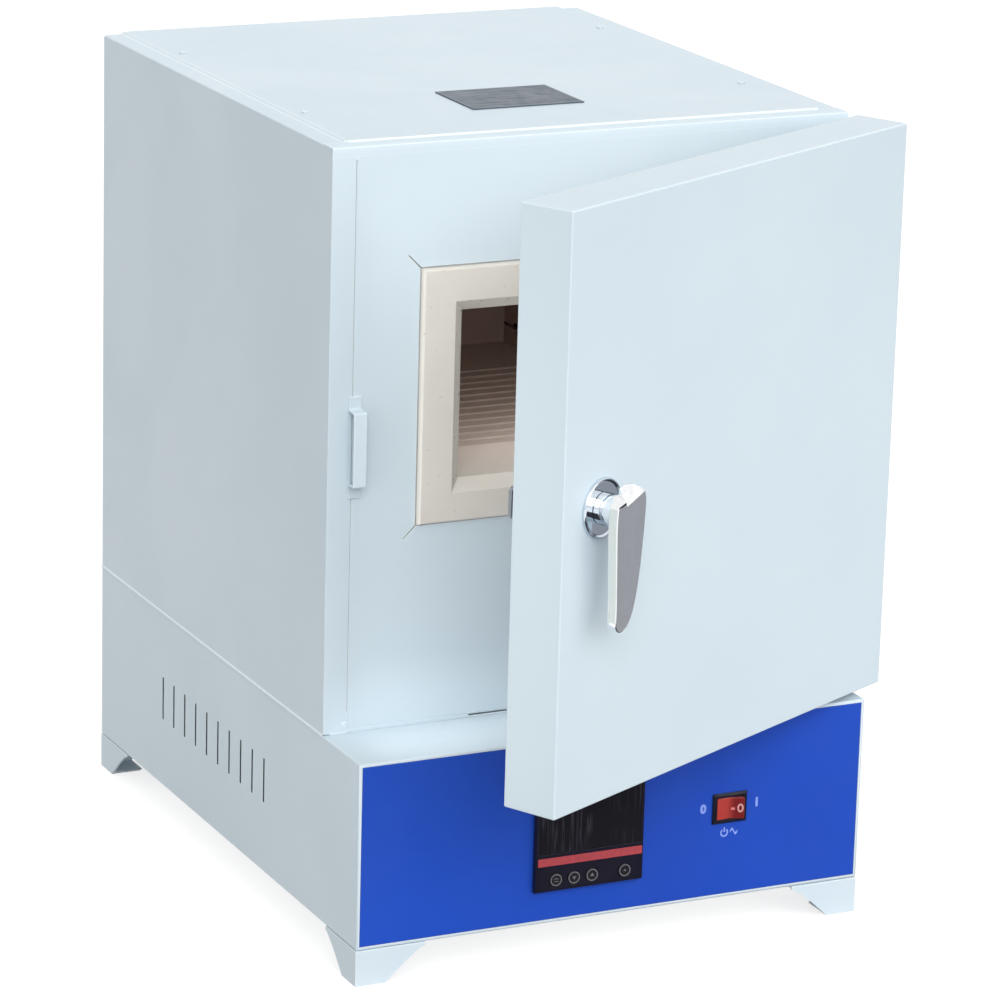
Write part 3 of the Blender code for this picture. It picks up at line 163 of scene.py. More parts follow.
def parts_of(tree, vector):
    """The X, Y and Z of a place or a direction."""
    return put(tree, "ShaderNodeSeparateXYZ", {0: vector}).outputs


def effect(name, inputs, outputs):
    """A node group that several finishes share, with its named inputs and outputs."""
    tree = bpy.data.node_groups.new(name, "ShaderNodeTree")
    for label, value in inputs:
        kind = "NodeSocketColor" if isinstance(value, tuple) else "NodeSocketFloat"
        socket = tree.interface.new_socket(name=label, in_out="INPUT", socket_type=kind)
        socket.default_value = (*value, 1.0) if isinstance(value, tuple) else value
    for label, kind in outputs:
        tree.interface.new_socket(name=label, in_out="OUTPUT", socket_type="NodeSocket" + kind)
    return tree, tree.nodes.new("NodeGroupInput").outputs, tree.nodes.new("NodeGroupOutput").inputs


def use(tree, group, feeds):
    """One placing of a shared effect, with this finish's own values."""
    return put(tree, "ShaderNodeGroup", feeds, node_tree=group).outputs


def make_colour_drift():
    """A colour that drifts slowly towards another one over the surface."""
    inputs = [("Colour", (1, 1, 1)), ("Other Colour", (1, 1, 1)), ("Scale", 4.0), ("Share", 0.5)]
    tree, given, result = effect("colour_drift", inputs, [("Colour", "Color")])
    cloud = stretch(tree, noise(tree, own_place(tree), given["Scale"], 5.0, 0.6), 0.36, 0.64)
    feed(tree, result["Colour"], tinted(tree, given["Colour"], given["Other Colour"], cloud, given["Share"]))
    return tree


def make_worn_edges():
    """Paler edges, partly wear and partly a painted highlight, broken up by a fine noise, and weaker where
    they don't face up to the lamps.
    """
    inputs = [("Width", 0.001), ("Break Up", 0.4), ("Low Share", 1.0)]
    tree, given, result = effect("worn_and_highlit_edges", inputs, [("Mask", "Float")])
    rounded = put(tree, "ShaderNodeBevel", {"Radius": given["Width"]}, samples=6).outputs[0]
    flat = put(tree, "ShaderNodeNewGeometry").outputs["Normal"]
    turn = put(tree, "ShaderNodeVectorMath", {0: rounded, 1: flat}, operation="DOT_PRODUCT")
    edge = stretch(tree, turn.outputs["Value"], 0.995, 0.86)
    patch = stretch(tree, noise(tree, own_place(tree), 180.0, 3.0, 0.6), 0.35, 0.6)
    gap = times(tree, maths(tree, "SUBTRACT", 1.0, patch), given["Break Up"])
    # Painted highlight: edges that face up keep the whole mark, as they would catch the lamps
    lit_from_above = stretch(tree, parts_of(tree, rounded)["Z"], 0.10, 0.50, given["Low Share"], 1.0)
    kept = times(tree, maths(tree, "SUBTRACT", 1.0, gap), lit_from_above)
    feed(tree, result["Mask"], times(tree, edge, kept, clamp=True))
    return tree


def make_sprayed_skin():
    """The soft dimples of a sprayed or cast surface."""
    tree, given, result = effect("sprayed_skin", [("Scale", 500.0), ("Detail", 1.5)], [("Height", "Float")])
    feed(tree, result["Height"], noise(tree, own_place(tree), given["Scale"], given["Detail"], 0.45))
    return tree


def make_settled_dust():
    """Dust on what faces up."""
    tree, given, result = effect("settled_dust", [("Share", 0.3), ("Scale", 40.0)], [("Mask", "Float")])
    rise = parts_of(tree, put(tree, "ShaderNodeNewGeometry").outputs["Normal"])["Z"]
    lying = stretch(tree, rise, 0.45, 0.98)
    cloud = stretch(tree, noise(tree, own_place(tree), given["Scale"], 6.0, 0.65), 0.38, 0.68)
    feed(tree, result["Mask"], times(tree, times(tree, lying, cloud), given["Share"]))
    return tree


def make_specks():
    """Small scattered specks, some cells of a mesh having one and most having none."""
    inputs = [("Scale", 120.0), ("Size", 0.2), ("Share", 0.3)]
    tree, given, result = effect("specks", inputs, [("Mask", "Float")])
    cells = put(tree, "ShaderNodeTexVoronoi", {"Vector": own_place(tree), "Scale": given["Scale"]})
    draw = put(tree, "ShaderNodeSeparateColor", {0: cells.outputs["Color"]})
    chosen = maths(tree, "LESS_THAN", draw.outputs[0], given["Share"])
    reach = times(tree, given["Size"], draw.outputs[1])
    inside = maths(tree, "SUBTRACT", reach, cells.outputs["Distance"])
    near = maths(tree, "DIVIDE", inside, 0.04, clamp=True)
    feed(tree, result["Mask"], times(tree, chosen, near))
    return tree


def make_handling_marks():
    """Cloudy marks left by hands and cloths, which change the gloss."""
    tree, given, result = effect("handling_marks", [("Scale", 12.0)], [("Mask", "Float")])
    place = own_place(tree)
    broad = stretch(tree, noise(tree, place, given["Scale"], 4.0, 0.6, 0.8), 0.42, 0.66)
    fine_scale = times(tree, given["Scale"], 9.0)
    fine = stretch(tree, noise(tree, place, fine_scale, 3.0, 0.6), 0.35, 0.65)
    broken = maths(tree, "MULTIPLY_ADD", fine, 0.6, 0.5)
    feed(tree, result["Mask"], times(tree, broad, broken, clamp=True))
    return tree


def make_hair_lines():
    """Long fine lines: scratches, or brushed grain where they lie close."""
    inputs = [("Scale", 30.0), ("Across X", 1.0), ("Across Y", 1.0), ("Across Z", 1.0), ("Line Width", 0.004)]
    tree, given, result = effect("hair_lines", inputs, [("Mask", "Float"), ("Height", "Float")])
    across = {0: given["Across X"], 1: given["Across Y"], 2: given["Across Z"]}
    span = put(tree, "ShaderNodeCombineXYZ", across).outputs[0]
    place = put(tree, "ShaderNodeVectorMath", {0: own_place(tree), 1: span}, operation="MULTIPLY")
    field = noise(tree, place.outputs[0], given["Scale"], 2.0, 0.7, 0.3)
    off = maths(tree, "ABSOLUTE", maths(tree, "SUBTRACT", field, 0.5))
    line = maths(tree, "SUBTRACT", 1.0, maths(tree, "DIVIDE", off, given["Line Width"]), clamp=True)
    feed(tree, result["Mask"], line)
    feed(tree, result["Height"], field)
    return tree


COLOUR_DRIFT = make_colour_drift()
WORN_AND_HIGHLIT_EDGES = make_worn_edges()
SPRAYED_SKIN = make_sprayed_skin()
SETTLED_DUST = make_settled_dust()
SPECKS = make_specks()
HANDLING_MARKS = make_handling_marks()
HAIR_LINES = make_hair_lines()


def drifting(tree, colour, other, scale, share):
    feeds = {"Colour": colour, "Other Colour": other, "Scale": scale, "Share": share}
    return use(tree, COLOUR_DRIFT, feeds)["Colour"]


# The mask of paler edges, partly wear and partly painted highlight
def worn(tree, width, break_up, unlit_edge_share=1.0):
    feeds = {"Width": width, "Break Up": break_up, "Low Share": unlit_edge_share}
    return use(tree, WORN_AND_HIGHLIT_EDGES, feeds)["Mask"]


def specked(tree, scale, size, share):
    return use(tree, SPECKS, {"Scale": scale, "Size": size, "Share": share})["Mask"]


def dusty(tree, colour, share, scale):
    """A colour with house dust on what faces up."""
    dust = use(tree, SETTLED_DUST, {"Share": share, "Scale": scale})["Mask"]
    return mixed(tree, dust, colour, HOUSE_DUST)


def lined(tree, scale, across, width):
    """Hair lines whose grain is squeezed by across, a number for each of X, Y and Z."""
    x, y, z = across
    feeds = {"Scale": scale, "Across X": x, "Across Y": y, "Across Z": z, "Line Width": width}
    return use(tree, HAIR_LINES, feeds)


def finish(name, **plain):
    """A material with a Principled shader, whose plain values are set on its own sockets."""
    made = bpy.data.materials.new(name)
    made.use_nodes = True
    shader = made.node_tree.nodes["Principled BSDF"]
    for label, value in plain.items():
        feed(made.node_tree, shader.inputs[label.replace("_", " ")], value)
    return made, made.node_tree, shader.inputs


def handled_gloss(tree, shader, scale, clean, marked):
    """Roughness that goes from clean to marked where hands and cloths have been."""
    marks = use(tree, HANDLING_MARKS, {"Scale": scale})["Mask"]
    feed(tree, shader["Roughness"], stretch(tree, marks, 0.0, 1.0, clean, marked))


def cloudy_gloss(tree, shader, scale, low, high):
    """Roughness that drifts between low and high."""
    feed(tree, shader["Roughness"], stretch(tree, noise(tree, own_place(tree), scale), 0.3, 0.7, low, high))


def raise_surface(tree, shader, height, depth, strength=1.0):
    """Bump the surface by a height that runs from 0 to 1, depth metres deep."""
    bump = put(tree, "ShaderNodeBump", {"Height": height, "Distance": depth, "Strength": strength})
    feed(tree, shader["Normal"], bump.outputs[0])


def dimple(tree, shader, scale, detail, depth, strength=1.0):
    """Bump the surface as a sprayed or moulded skin is."""
    skin = use(tree, SPRAYED_SKIN, {"Scale": scale, "Detail": detail})["Height"]
    raise_surface(tree, shader, skin, depth, strength)


def powder_coat(name, colour, shade, edge, gloss=0.40, edge_wear_and_highlight_share=1.0, dust_share=0.05, shine=0.5):
    """Sprayed and baked paint on sheet steel: slight dimples, folds paler with a painted highlight that is
    partly wear, a little dust.
    """
    made, tree, shader = finish(name, Specular_IOR_Level=shine)
    coat = drifting(tree, colour, shade, scale=3.2, share=0.6)
    # Painted highlight: the folds take the edge colour as rounded edges catching the lamps would, and in part
    # it is wear
    coat = tinted(tree, coat, edge, worn(tree, width=0.0022, break_up=0.20, unlit_edge_share=0.35), edge_wear_and_highlight_share)
    coat = tinted(tree, coat, PAINT_NICK, specked(tree, scale=26.0, size=0.045, share=0.10), 0.55)
    feed(tree, shader["Base Color"], dusty(tree, coat, share=dust_share, scale=30.0))
    handled_gloss(tree, shader, scale=7.0, clean=gloss, marked=gloss + 0.10)
    dimple(tree, shader, scale=420.0, detail=1.5, depth=0.00003, strength=0.8)
    return made


def plated_steel(name, colour, dark, gloss, line_share):
    """Zinc plate on pressed steel: cloudy grey, faint rolled grain, duller worn edges."""
    made, tree, shader = finish(name, Metallic=1.0)
    grain = lined(tree, scale=60.0, across=(0.05, 1.0, 12.0), width=0.05)
    plate = drifting(tree, colour, dark, scale=28.0, share=0.8)
    plate = tinted(tree, plate, dark, grain["Mask"], line_share)
    plate = tinted(tree, plate, (0.80, 0.81, 0.82), worn(tree, width=0.0008, break_up=0.5), 0.5)
    feed(tree, shader["Base Color"], plate)
    handled_gloss(tree, shader, scale=30.0, clean=gloss, marked=gloss + 0.18)
    raise_surface(tree, shader, grain["Height"], depth=0.00003)
    return made


def chrome_plate(name, bright, dull):
    """Polished chrome with faint wipe marks and hair scratches."""
    made, tree, shader = finish(name, Metallic=1.0)
    scratch = lined(tree, scale=420.0, across=(1.0, 1.0, 0.03), width=0.012)["Mask"]
    plate = drifting(tree, bright, dull, scale=45.0, share=0.5)
    feed(tree, shader["Base Color"], tinted(tree, plate, (0.5, 0.51, 0.53), scratch, 0.22))
    handled_gloss(tree, shader, scale=60.0, clean=0.05, marked=0.17)
    dimple(tree, shader, scale=160.0, detail=2.0, depth=0.00002)
    return made


def fired_clay(name, colour, other, speck, speck_share, depth_colour, depth_colour_near, depth_colour_far, edge_wear_and_highlight_share):
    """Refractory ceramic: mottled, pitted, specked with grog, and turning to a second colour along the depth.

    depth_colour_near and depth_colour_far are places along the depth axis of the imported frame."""
    made, tree, shader = finish(name, Roughness=0.9)
    body = drifting(tree, colour, other, scale=24.0, share=0.9)
    body = tinted(tree, body, speck, specked(tree, scale=210.0, size=0.34, share=speck_share), 0.6)
    depth = parts_of(tree, own_place(tree))["Y"]
    wander, half_wander = 0.03, 0.015
    reached = maths(tree, "MULTIPLY_ADD", noise(tree, own_place(tree), 35.0, 4.0, 0.6), wander, depth)
    depth_share = stretch(tree, reached, depth_colour_near + half_wander, depth_colour_far + half_wander)
    body = mixed(tree, depth_share, body, depth_colour)
    # Paler edges: wear, and a painted highlight along the collar's chamfer edges, which catch the light
    rubbed = worn(tree, width=0.0012, break_up=0.7, unlit_edge_share=0.8)
    body = tinted(tree, body, (0.86, 0.83, 0.77), rubbed, edge_wear_and_highlight_share)
    feed(tree, shader["Base Color"], body)
    rough = noise(tree, own_place(tree), 620.0, 4.0, 0.7)
    pitted = maths(tree, "SUBTRACT", rough, specked(tree, scale=330.0, size=0.4, share=0.22))
    raise_surface(tree, shader, pitted, depth=0.0003, strength=0.6)
    return made


def ceramic_fibre(name, colour, shade, strand_colour):
    """Pressed fibre: soft and felted."""
    made, tree, shader = finish(name, Roughness=1.0)
    strand = lined(tree, scale=140.0, across=(0.4, 1.0, 3.0), width=0.06)
    felt = drifting(tree, colour, shade, scale=18.0, share=0.8)
    feed(tree, shader["Base Color"], tinted(tree, felt, strand_colour, strand["Mask"], 0.25))
    raise_surface(tree, shader, strand["Height"], depth=0.0012)
    return made


def resistance_wire(name, brown, black):
    """Heating wire that firing has browned and dulled."""
    made, tree, shader = finish(name, Metallic=0.85)
    feed(tree, shader["Base Color"], drifting(tree, brown, black, scale=120.0, share=1.0))
    cloudy_gloss(tree, shader, scale=300.0, low=0.45, high=0.75)
    return made


def moulded_plastic(name, colour, edge, gloss, grain, shine=0.5, shaded_half_colour=None):
    """Moulded plastic with a fine spark-eroded grain and slightly polished edges.

    shaded_half_colour is a painted shade for the rocker's raised half, which faces away from the lamps."""
    made, tree, shader = finish(name, Specular_IOR_Level=shine)
    other = tuple(channel * 0.78 for channel in colour)
    body = drifting(tree, colour, other, scale=40.0, share=0.7)
    # Painted shade: the rocker's raised half is darkened, as it faces away from the lamps
    if shaded_half_colour:
        along = parts_of(tree, own_place(tree))["X"]
        body = mixed(tree, stretch(tree, along, 0.0900, 0.0955), body, shaded_half_colour)
    body = tinted(tree, body, edge, worn(tree, width=0.0006, break_up=0.3), 0.5)
    feed(tree, shader["Base Color"], dusty(tree, body, share=0.12, scale=120.0))
    handled_gloss(tree, shader, scale=40.0, clean=gloss, marked=gloss + 0.14)
    dimple(tree, shader, scale=1500.0, detail=2.0, depth=grain)
    return made


def display_glass(name, dark, streaked):
    """The dark window over the display: glossy, with faint paler upright streaks in its colour."""
    made, tree, shader = finish(name, Specular_IOR_Level=0.4)
    streak = lined(tree, scale=26.0, across=(6.0, 1.0, 0.35), width=0.05)["Mask"]
    cloud = stretch(tree, noise(tree, own_place(tree), 24.0, 2.0, 0.5), 0.42, 0.58)
    feed(tree, shader["Base Color"], tinted(tree, dark, streaked, times(tree, streak, cloud), 0.6))
    handled_gloss(tree, shader, scale=50.0, clean=0.07, marked=0.24)
    return made


def printed_ink(name, colour):
    """Screen-printed ink, a little uneven and thin in places."""
    made, tree, shader = finish(name, Roughness=0.5)
    thin = tuple(channel * 0.7 for channel in colour)
    feed(tree, shader["Base Color"], drifting(tree, colour, thin, scale=300.0, share=0.6))
    return made


def blackened_plate(name, dark, shade):
    """The bare plate on the cover: dark anodised metal with a faint brushed grain."""
    made, tree, shader = finish(name, Metallic=0.35)
    grain = lined(tree, scale=150.0, across=(0.06, 4.0, 1.0), width=0.04)["Mask"]
    skin = drifting(tree, dark, shade, scale=20.0, share=0.8)
    skin = tinted(tree, skin, (0.26, 0.28, 0.31), grain, 0.25)
    feed(tree, shader["Base Color"], dusty(tree, skin, share=0.15, scale=60.0))
    cloudy_gloss(tree, shader, scale=90.0, low=0.38, high=0.52)
    return made


def cast_metal(name, grey, shade):
    """A grey die casting with a sanded skin."""
    made, tree, shader = finish(name, Metallic=0.75)
    rubbed = worn(tree, width=0.001, break_up=0.4)
    skin = drifting(tree, grey, shade, scale=60.0, share=0.9)
    feed(tree, shader["Base Color"], tinted(tree, skin, (0.72, 0.73, 0.74), rubbed, 0.6))
    cloudy_gloss(tree, shader, scale=200.0, low=0.42, high=0.62)
    dimple(tree, shader, scale=700.0, detail=3.0, depth=0.00012)
    return made


PALE_COAT = powder_coat("pale_powder_coat", PALE_BLUE_GREY, PALE_SHADE, PALE_EDGE_HIGHLIGHT)
# The cover's paint, whose edges have fainter painted highlights
FAINT_HIGHLIGHT_COAT = powder_coat("pale_coat_with_faint_edge_highlights", PALE_BLUE_GREY, PALE_SHADE, PALE_EDGE_HIGHLIGHT, edge_wear_and_highlight_share=0.25)
BLUE_COAT = powder_coat("blue_panel_coat", PANEL_BLUE, PANEL_BLUE_DEEP, PANEL_BLUE_EDGE_HIGHLIGHT,
                        gloss=0.36, edge_wear_and_highlight_share=0.35, dust_share=0.06, shine=0.35)
ZINC = plated_steel("zinc_plated_steel", (0.56, 0.58, 0.60), (0.40, 0.42, 0.44), gloss=0.34, line_share=0.3)
BRIGHT_ZINC = plated_steel("bright_zinc_screws", (0.80, 0.86, 0.90), (0.68, 0.74, 0.79),
                           gloss=0.30, line_share=0.2)
LATCH_STEEL = plated_steel("grey_latch_steel", (0.36, 0.38, 0.41), (0.26, 0.28, 0.31),
                           gloss=0.42, line_share=0.3)
CHROME = chrome_plate("chrome_lever_plate", (0.92, 0.93, 0.94), (0.86, 0.87, 0.885))
ROSETTE_CHROME = chrome_plate("chrome_rosette_plate", (0.69, 0.76, 0.84), (0.63, 0.70, 0.78))
# Paler and pinker towards the inside of the mouth
COLLAR_CLAY = fired_clay("cream_collar_clay", (0.715, 0.680, 0.615), (0.745, 0.715, 0.660),
                         speck=(0.40, 0.35, 0.30), speck_share=0.25, depth_colour=(0.93, 0.83, 0.76),
                         depth_colour_near=-0.125, depth_colour_far=-0.06, edge_wear_and_highlight_share=0.7)
# Darker towards the back of the chamber
CHAMBER_CLAY = fired_clay("chamber_brick", (0.57, 0.43, 0.38), (0.50, 0.37, 0.32),
                          speck=(0.34, 0.25, 0.21), speck_share=0.2, depth_colour=(0.48, 0.36, 0.31),
                          depth_colour_near=0.05, depth_colour_far=0.30, edge_wear_and_highlight_share=0.0)
# Darker towards the back of the hearth
HEARTH_CLAY = fired_clay("hearth_slab", (0.76, 0.66, 0.60), (0.70, 0.59, 0.52),
                         speck=(0.42, 0.34, 0.29), speck_share=0.2, depth_colour=(0.66, 0.54, 0.47),
                         depth_colour_near=-0.02, depth_colour_far=0.22, edge_wear_and_highlight_share=0.0)
FIBRE = ceramic_fibre("white_fibre_board", (0.76, 0.74, 0.69), (0.66, 0.63, 0.57), (0.85, 0.84, 0.81))
# The rope's grey is a painted shade for the gap round the mouth collar
GAP_SHADE_ROPE = ceramic_fibre("grey_rope_painted_as_gap_shade", (0.42, 0.44, 0.45), (0.33, 0.35, 0.36), (0.52, 0.53, 0.53))
WIRE = resistance_wire("oxidised_heating_wire", (0.20, 0.17, 0.15), (0.09, 0.07, 0.065))
BLACK_PLASTIC = moulded_plastic("black_housing_plastic", (0.012, 0.011, 0.024), (0.05, 0.05, 0.06),
                                gloss=0.32, grain=0.00002, shine=0.3)
KEY_PLASTIC = moulded_plastic("dark_key_plastic", (0.016, 0.016, 0.020), (0.10, 0.10, 0.11),
                              gloss=0.36, grain=0.00001, shine=0.3)
# The rocker's red, with painted shade on its raised half
RED_PLASTIC = moulded_plastic("red_rocker_plastic", (0.50, 0.050, 0.040), (0.70, 0.20, 0.15),
                              gloss=0.26, grain=0.00001, shaded_half_colour=(0.20, 0.011, 0.013))
# The slots' dark sheets are painted shade, not a part of the kiln
SLOT_SHADE = moulded_plastic("painted_slot_shade", (0.010, 0.016, 0.024), (0.04, 0.05, 0.06),
                            gloss=0.6, grain=0.00003, shine=0.1)
CREAM_PLASTIC = moulded_plastic("cream_terminal_plastic", (0.64, 0.60, 0.48), (0.75, 0.72, 0.62),
                                gloss=0.45, grain=0.00002)
WINDOW = display_glass("display_window", (0.013, 0.013, 0.017), (0.062, 0.058, 0.074))
PLATE = blackened_plate("dark_cover_plate", (0.062, 0.094, 0.128), (0.082, 0.120, 0.160))
CAST = cast_metal("cast_head_alloy", (0.46, 0.47, 0.48), (0.33, 0.34, 0.35))
LABEL_INK = printed_ink("label_print", PRINT_LIGHT_BLUE)
KEY_INK = printed_ink("key_print", (0.17, 0.17, 0.19))
STRIPE_INK = printed_ink("red_stripe_print", (0.50, 0.062, 0.078))
MARK_INK = printed_ink("rocker_ring_print", (0.72, 0.38, 0.36))
DASH_INK = printed_ink("rocker_dash_print", (0.78, 0.20, 0.20))
PLATE_INK = printed_ink("plate_line_print", (0.33, 0.36, 0.39))

SLOT_FINISH = {
    "pale_paint": PALE_COAT, "blue_paint": BLUE_COAT, "zinc_steel": ZINC, "chrome_plate": CHROME,
    "cream_ceramic": COLLAR_CLAY, "fired_brick": CHAMBER_CLAY, "white_fibre": FIBRE, "heating_wire": WIRE,
    "black_plastic": BLACK_PLASTIC, "dark_screen": WINDOW, "grey_key": KEY_PLASTIC, "red_rocker": RED_PLASTIC,
    "plate_grey": PLATE, "cast_alloy": CAST, "cream_plastic": CREAM_PLASTIC,
}


def make_even_shading():
    """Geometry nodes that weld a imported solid's split corners and shade it smooth up to an angle."""
    tree = bpy.data.node_groups.new("even_shading", "GeometryNodeTree")
    tree.is_modifier = True
    tree.interface.new_socket(name="Geometry", in_out="INPUT", socket_type="NodeSocketGeometry")
    turn = tree.interface.new_socket(name="Sharp Angle", in_out="INPUT", socket_type="NodeSocketFloat")
    turn.default_value = math.radians(50)
    tree.interface.new_socket(name="Geometry", in_out="OUTPUT", socket_type="NodeSocketGeometry")
    given = tree.nodes.new("NodeGroupInput").outputs
    result = tree.nodes.new("NodeGroupOutput").inputs
    plain = put(tree, "GeometryNodeRemoveAttribute", {"Geometry": given[0], "Name": "custom_normal"})
    welded = put(tree, "GeometryNodeMergeByDistance", {"Geometry": plain.outputs[0], "Distance": 0.00001})
    smooth = put(tree, "GeometryNodeSetShadeSmooth", {"Geometry": welded.outputs[0], "Shade Smooth": True})
    fold = put(tree, "GeometryNodeInputMeshEdgeAngle").outputs["Unsigned Angle"]
    sharp = put(tree, "FunctionNodeCompare", {0: fold, 1: given[1]}, operation="GREATER_THAN")
    feeds = {"Geometry": smooth.outputs[0], "Selection": sharp.outputs[0], "Shade Smooth": False}
    creased = put(tree, "GeometryNodeSetShadeSmooth", feeds, domain="EDGE")
    tree.links.new(creased.outputs[0], result[0])
    return tree


EVEN_SHADING = make_even_shading()


def round_edges(piece, width, sharp_deg=50.0):
    """A small rounding on a piece's sharp edges, with even shading over its faces."""
    if width:
        bevel = piece.modifiers.new("rounded_edges", "BEVEL")
        bevel.width = width
        bevel.segments = 2
        bevel.limit_method = "ANGLE"
        bevel.angle_limit = math.radians(sharp_deg)
    piece.modifiers.new("even_faces", "WEIGHTED_NORMAL").keep_sharp = True


def dress(names, finish_now=None, rounding=0.0, sharp_deg=50.0):
    """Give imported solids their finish, even shading and small rounded edges."""
    for name in names.split():
        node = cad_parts[name]
        for slot in node.material_slots:
            slot.material = finish_now or SLOT_FINISH[slot.material.name]
        shading = node.modifiers.new("even_shading", "NODES")
        shading.node_group = EVEN_SHADING
        shading["Socket_1"] = math.radians(sharp_deg)
        round_edges(node, rounding, sharp_deg)


def dress_solids():
    """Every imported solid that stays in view."""
    dress("base_case left_side_panel right_side_panel door_shell front_plate")
    dress("top_cover", FAINT_HIGHLIGHT_COAT, rounding=0.0003)
    dress("foot_front_left foot_front_right foot_rear_left foot_rear_right", rounding=0.0004)
    dress("rear_panel base_rear_cover control_panel door_back_plate", rounding=0.0003)
    dress("base_floor case_floor controller_case controller_bezel controller_window", rounding=0.0002)
    dress("switch_frame relay terminal_block name_plate", rounding=0.0002)
    dress("insulation_bottom insulation_left insulation_right insulation_top insulation_rear door_insulation")
    dress("chamber thermocouple_sheath door_plug")
    dress("mouth_collar", sharp_deg=28)
    dress("hearth_plate", HEARTH_CLAY)
    dress("hinge_upper_case_half hinge_upper_door_half hinge_lower_case_half hinge_lower_door_half")
    dress("hinge_upper_pin hinge_lower_pin handle_spindle latch_nut", rounding=0.0002)
    dress("latch_tongue", LATCH_STEEL, rounding=0.0002)
    dress("switch_rocker", rounding=0.0004)
    dress("controller_key_1 controller_key_2 controller_key_3 controller_key_4", rounding=0.0004)


def add_object(name, data):
    """A mesh, lamp, camera or text stands in the scene."""
    made = bpy.data.objects.new(name, data)
    bpy.context.scene.collection.objects.link(made)
    return made


def mesh_of(name, shape):
    """A finished shape becomes a mesh."""
    mesh = bpy.data.meshes.new(name)
    shape.to_mesh(mesh)
    shape.free()
    return mesh


def new_piece(name, shape, body, coat, place=KILN, sharp_deg=35.0):
    """A finished shape becomes a piece that rides on a body."""
    shape.transform(place)
    bmesh.ops.recalc_face_normals(shape, faces=shape.faces)
    mesh = mesh_of(name, shape)
    mesh.materials.append(coat)
    mesh.shade_smooth()
    mesh.set_sharp_from_angle(angle=math.radians(sharp_deg))
    piece = add_object(name, mesh)
    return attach(piece, body)


def at(x, y, z, turn=TO_TOP):
    """A place in kiln coordinates, with a turn."""
    return Matrix.Translation((x, y, z)) @ turn


def painted(name, shape):
    """A piece of the cabinet in its own pale paint."""
    return new_piece(name, shape, "cabinet", PALE_COAT, KILN)


def printed(name, shape, ink, x, y, z, body="cabinet"):
    """A print on the panel, the controller or a key, which all face the front."""
    return new_piece(name, shape, body, ink, KILN @ at(x, y, z, TO_FRONT))


def moved(shape, place):
    shape.transform(place)
    return shape


def joined(shapes):
    """Several shapes as one."""
    whole = bmesh.new()
    for shape in shapes:
        mesh = mesh_of("joined", shape)
        whole.from_mesh(mesh)
        bpy.data.meshes.remove(mesh)
    return whole


def skirt(shape, ring, other):
    """Faces all round, from one closed ring of corners to another."""
    for step in range(len(ring)):
        after = (step + 1) % len(ring)
        shape.faces.new((ring[step], ring[after], other[after], other[step]))


def skin_over(shape, rings):
    """Faces along a row of rings, closed at both ends."""
    for before, after in zip(rings, rings[1:]):
        skirt(shape, before, after)
    shape.faces.new(rings[0])
    shape.faces.new(rings[-1])
    return shape


def arc(radius_x, radius_y, start=0.0, sweep=360.0, steps=32):
    """Points along a round or oval arc. A whole round leaves out its last point, which is its first."""
    count = steps if sweep == 360.0 else steps + 1
    turns = [math.radians(start + sweep * step / steps) for step in range(count)]
    return [(radius_x * math.cos(turn), radius_y * math.sin(turn)) for turn in turns]


def turned(profile, steps):
    """A shape turned about Z from (radius, height) pairs down its outer side."""
    shape = bmesh.new()
    rings = []
    for radius, height in profile:
        around = arc(radius, radius, steps=steps if radius else 1)
        rings.append([shape.verts.new((x, y, height)) for x, y in around])
    for upper, lower in zip(rings, rings[1:]):
        for step in range(steps):
            after = step + 1
            corners = [upper[step % len(upper)], upper[after % len(upper)],
                       lower[after % len(lower)], lower[step % len(lower)]]
            corners = list(dict.fromkeys(corners))
            if len(corners) > 2:
                shape.faces.new(corners)
    return shape


def outlined(points, low, high, hole=None):
    """A flat outline in XY, given a thickness from low to high, with a hole's outline if given."""
    shape = bmesh.new()
    loops = [points, hole] if hole else [points]
    levels = []
    for height in (low, high):
        levels.append([[shape.verts.new((u, v, height)) for u, v in loop] for loop in loops])
    for lower, upper in zip(*levels):
        skirt(shape, lower, upper)
    for level in levels:
        if hole:
            skirt(shape, *level)
        else:
            shape.faces.new(level[0])
    return shape


def flat_bar(left, right, low, high, rise=PRINT_RISE):
    """A printed bar that lies in XY."""
    return outlined([(left, low), (right, low), (right, high), (left, high)], 0, rise)


def flat_ring(radius_x, radius_y, width, start=0.0, sweep=360.0, steps=32):
    """A printed round band, or part of one, that lies in XY."""
    outer = arc(radius_x, radius_y, start, sweep, steps)
    inner = arc(radius_x - width, radius_y - width, start, sweep, steps)
    if sweep == 360.0:
        return outlined(outer, 0, PRINT_RISE, inner)
    return outlined(outer + inner[::-1], 0, PRINT_RISE)


def rounded_rectangle(width, height, corner, steps):
    points = []
    for quarter, (side, end) in enumerate(((1, 1), (-1, 1), (-1, -1), (1, -1))):
        middle_x, middle_y = side * (width / 2 - corner), end * (height / 2 - corner)
        for x, y in arc(corner, corner, 90 * quarter, 90, steps):
            points.append((middle_x + x, middle_y + y))
    return points


def tube(points, radius, sides):
    """A round wire along points, closed at its ends."""
    shape = bmesh.new()
    rings = []
    side = (points[1] - points[0]).normalized().orthogonal()
    for index, point in enumerate(points):
        ahead = points[min(index + 1, len(points) - 1)] - points[max(index - 1, 0)]
        ahead.normalize()
        side = (side - ahead * side.dot(ahead)).normalized()
        other = ahead.cross(side)
        rings.append([shape.verts.new(point + u * side + v * other)
                      for u, v in arc(radius, radius, steps=sides)])
    return skin_over(shape, rings)


def run_along(corners, section, level=0.0):
    """A strip with one cross-section, (outward, height above level) pairs, along its corners.

    Each corner is (x, y, outward x, outward y), the outward direction being the mitre's."""
    shape = bmesh.new()
    rings = [[shape.verts.new((x + out * across_x, y + out * across_y, level + height))
              for out, height in section] for x, y, across_x, across_y in corners]
    return skin_over(shape, rings)


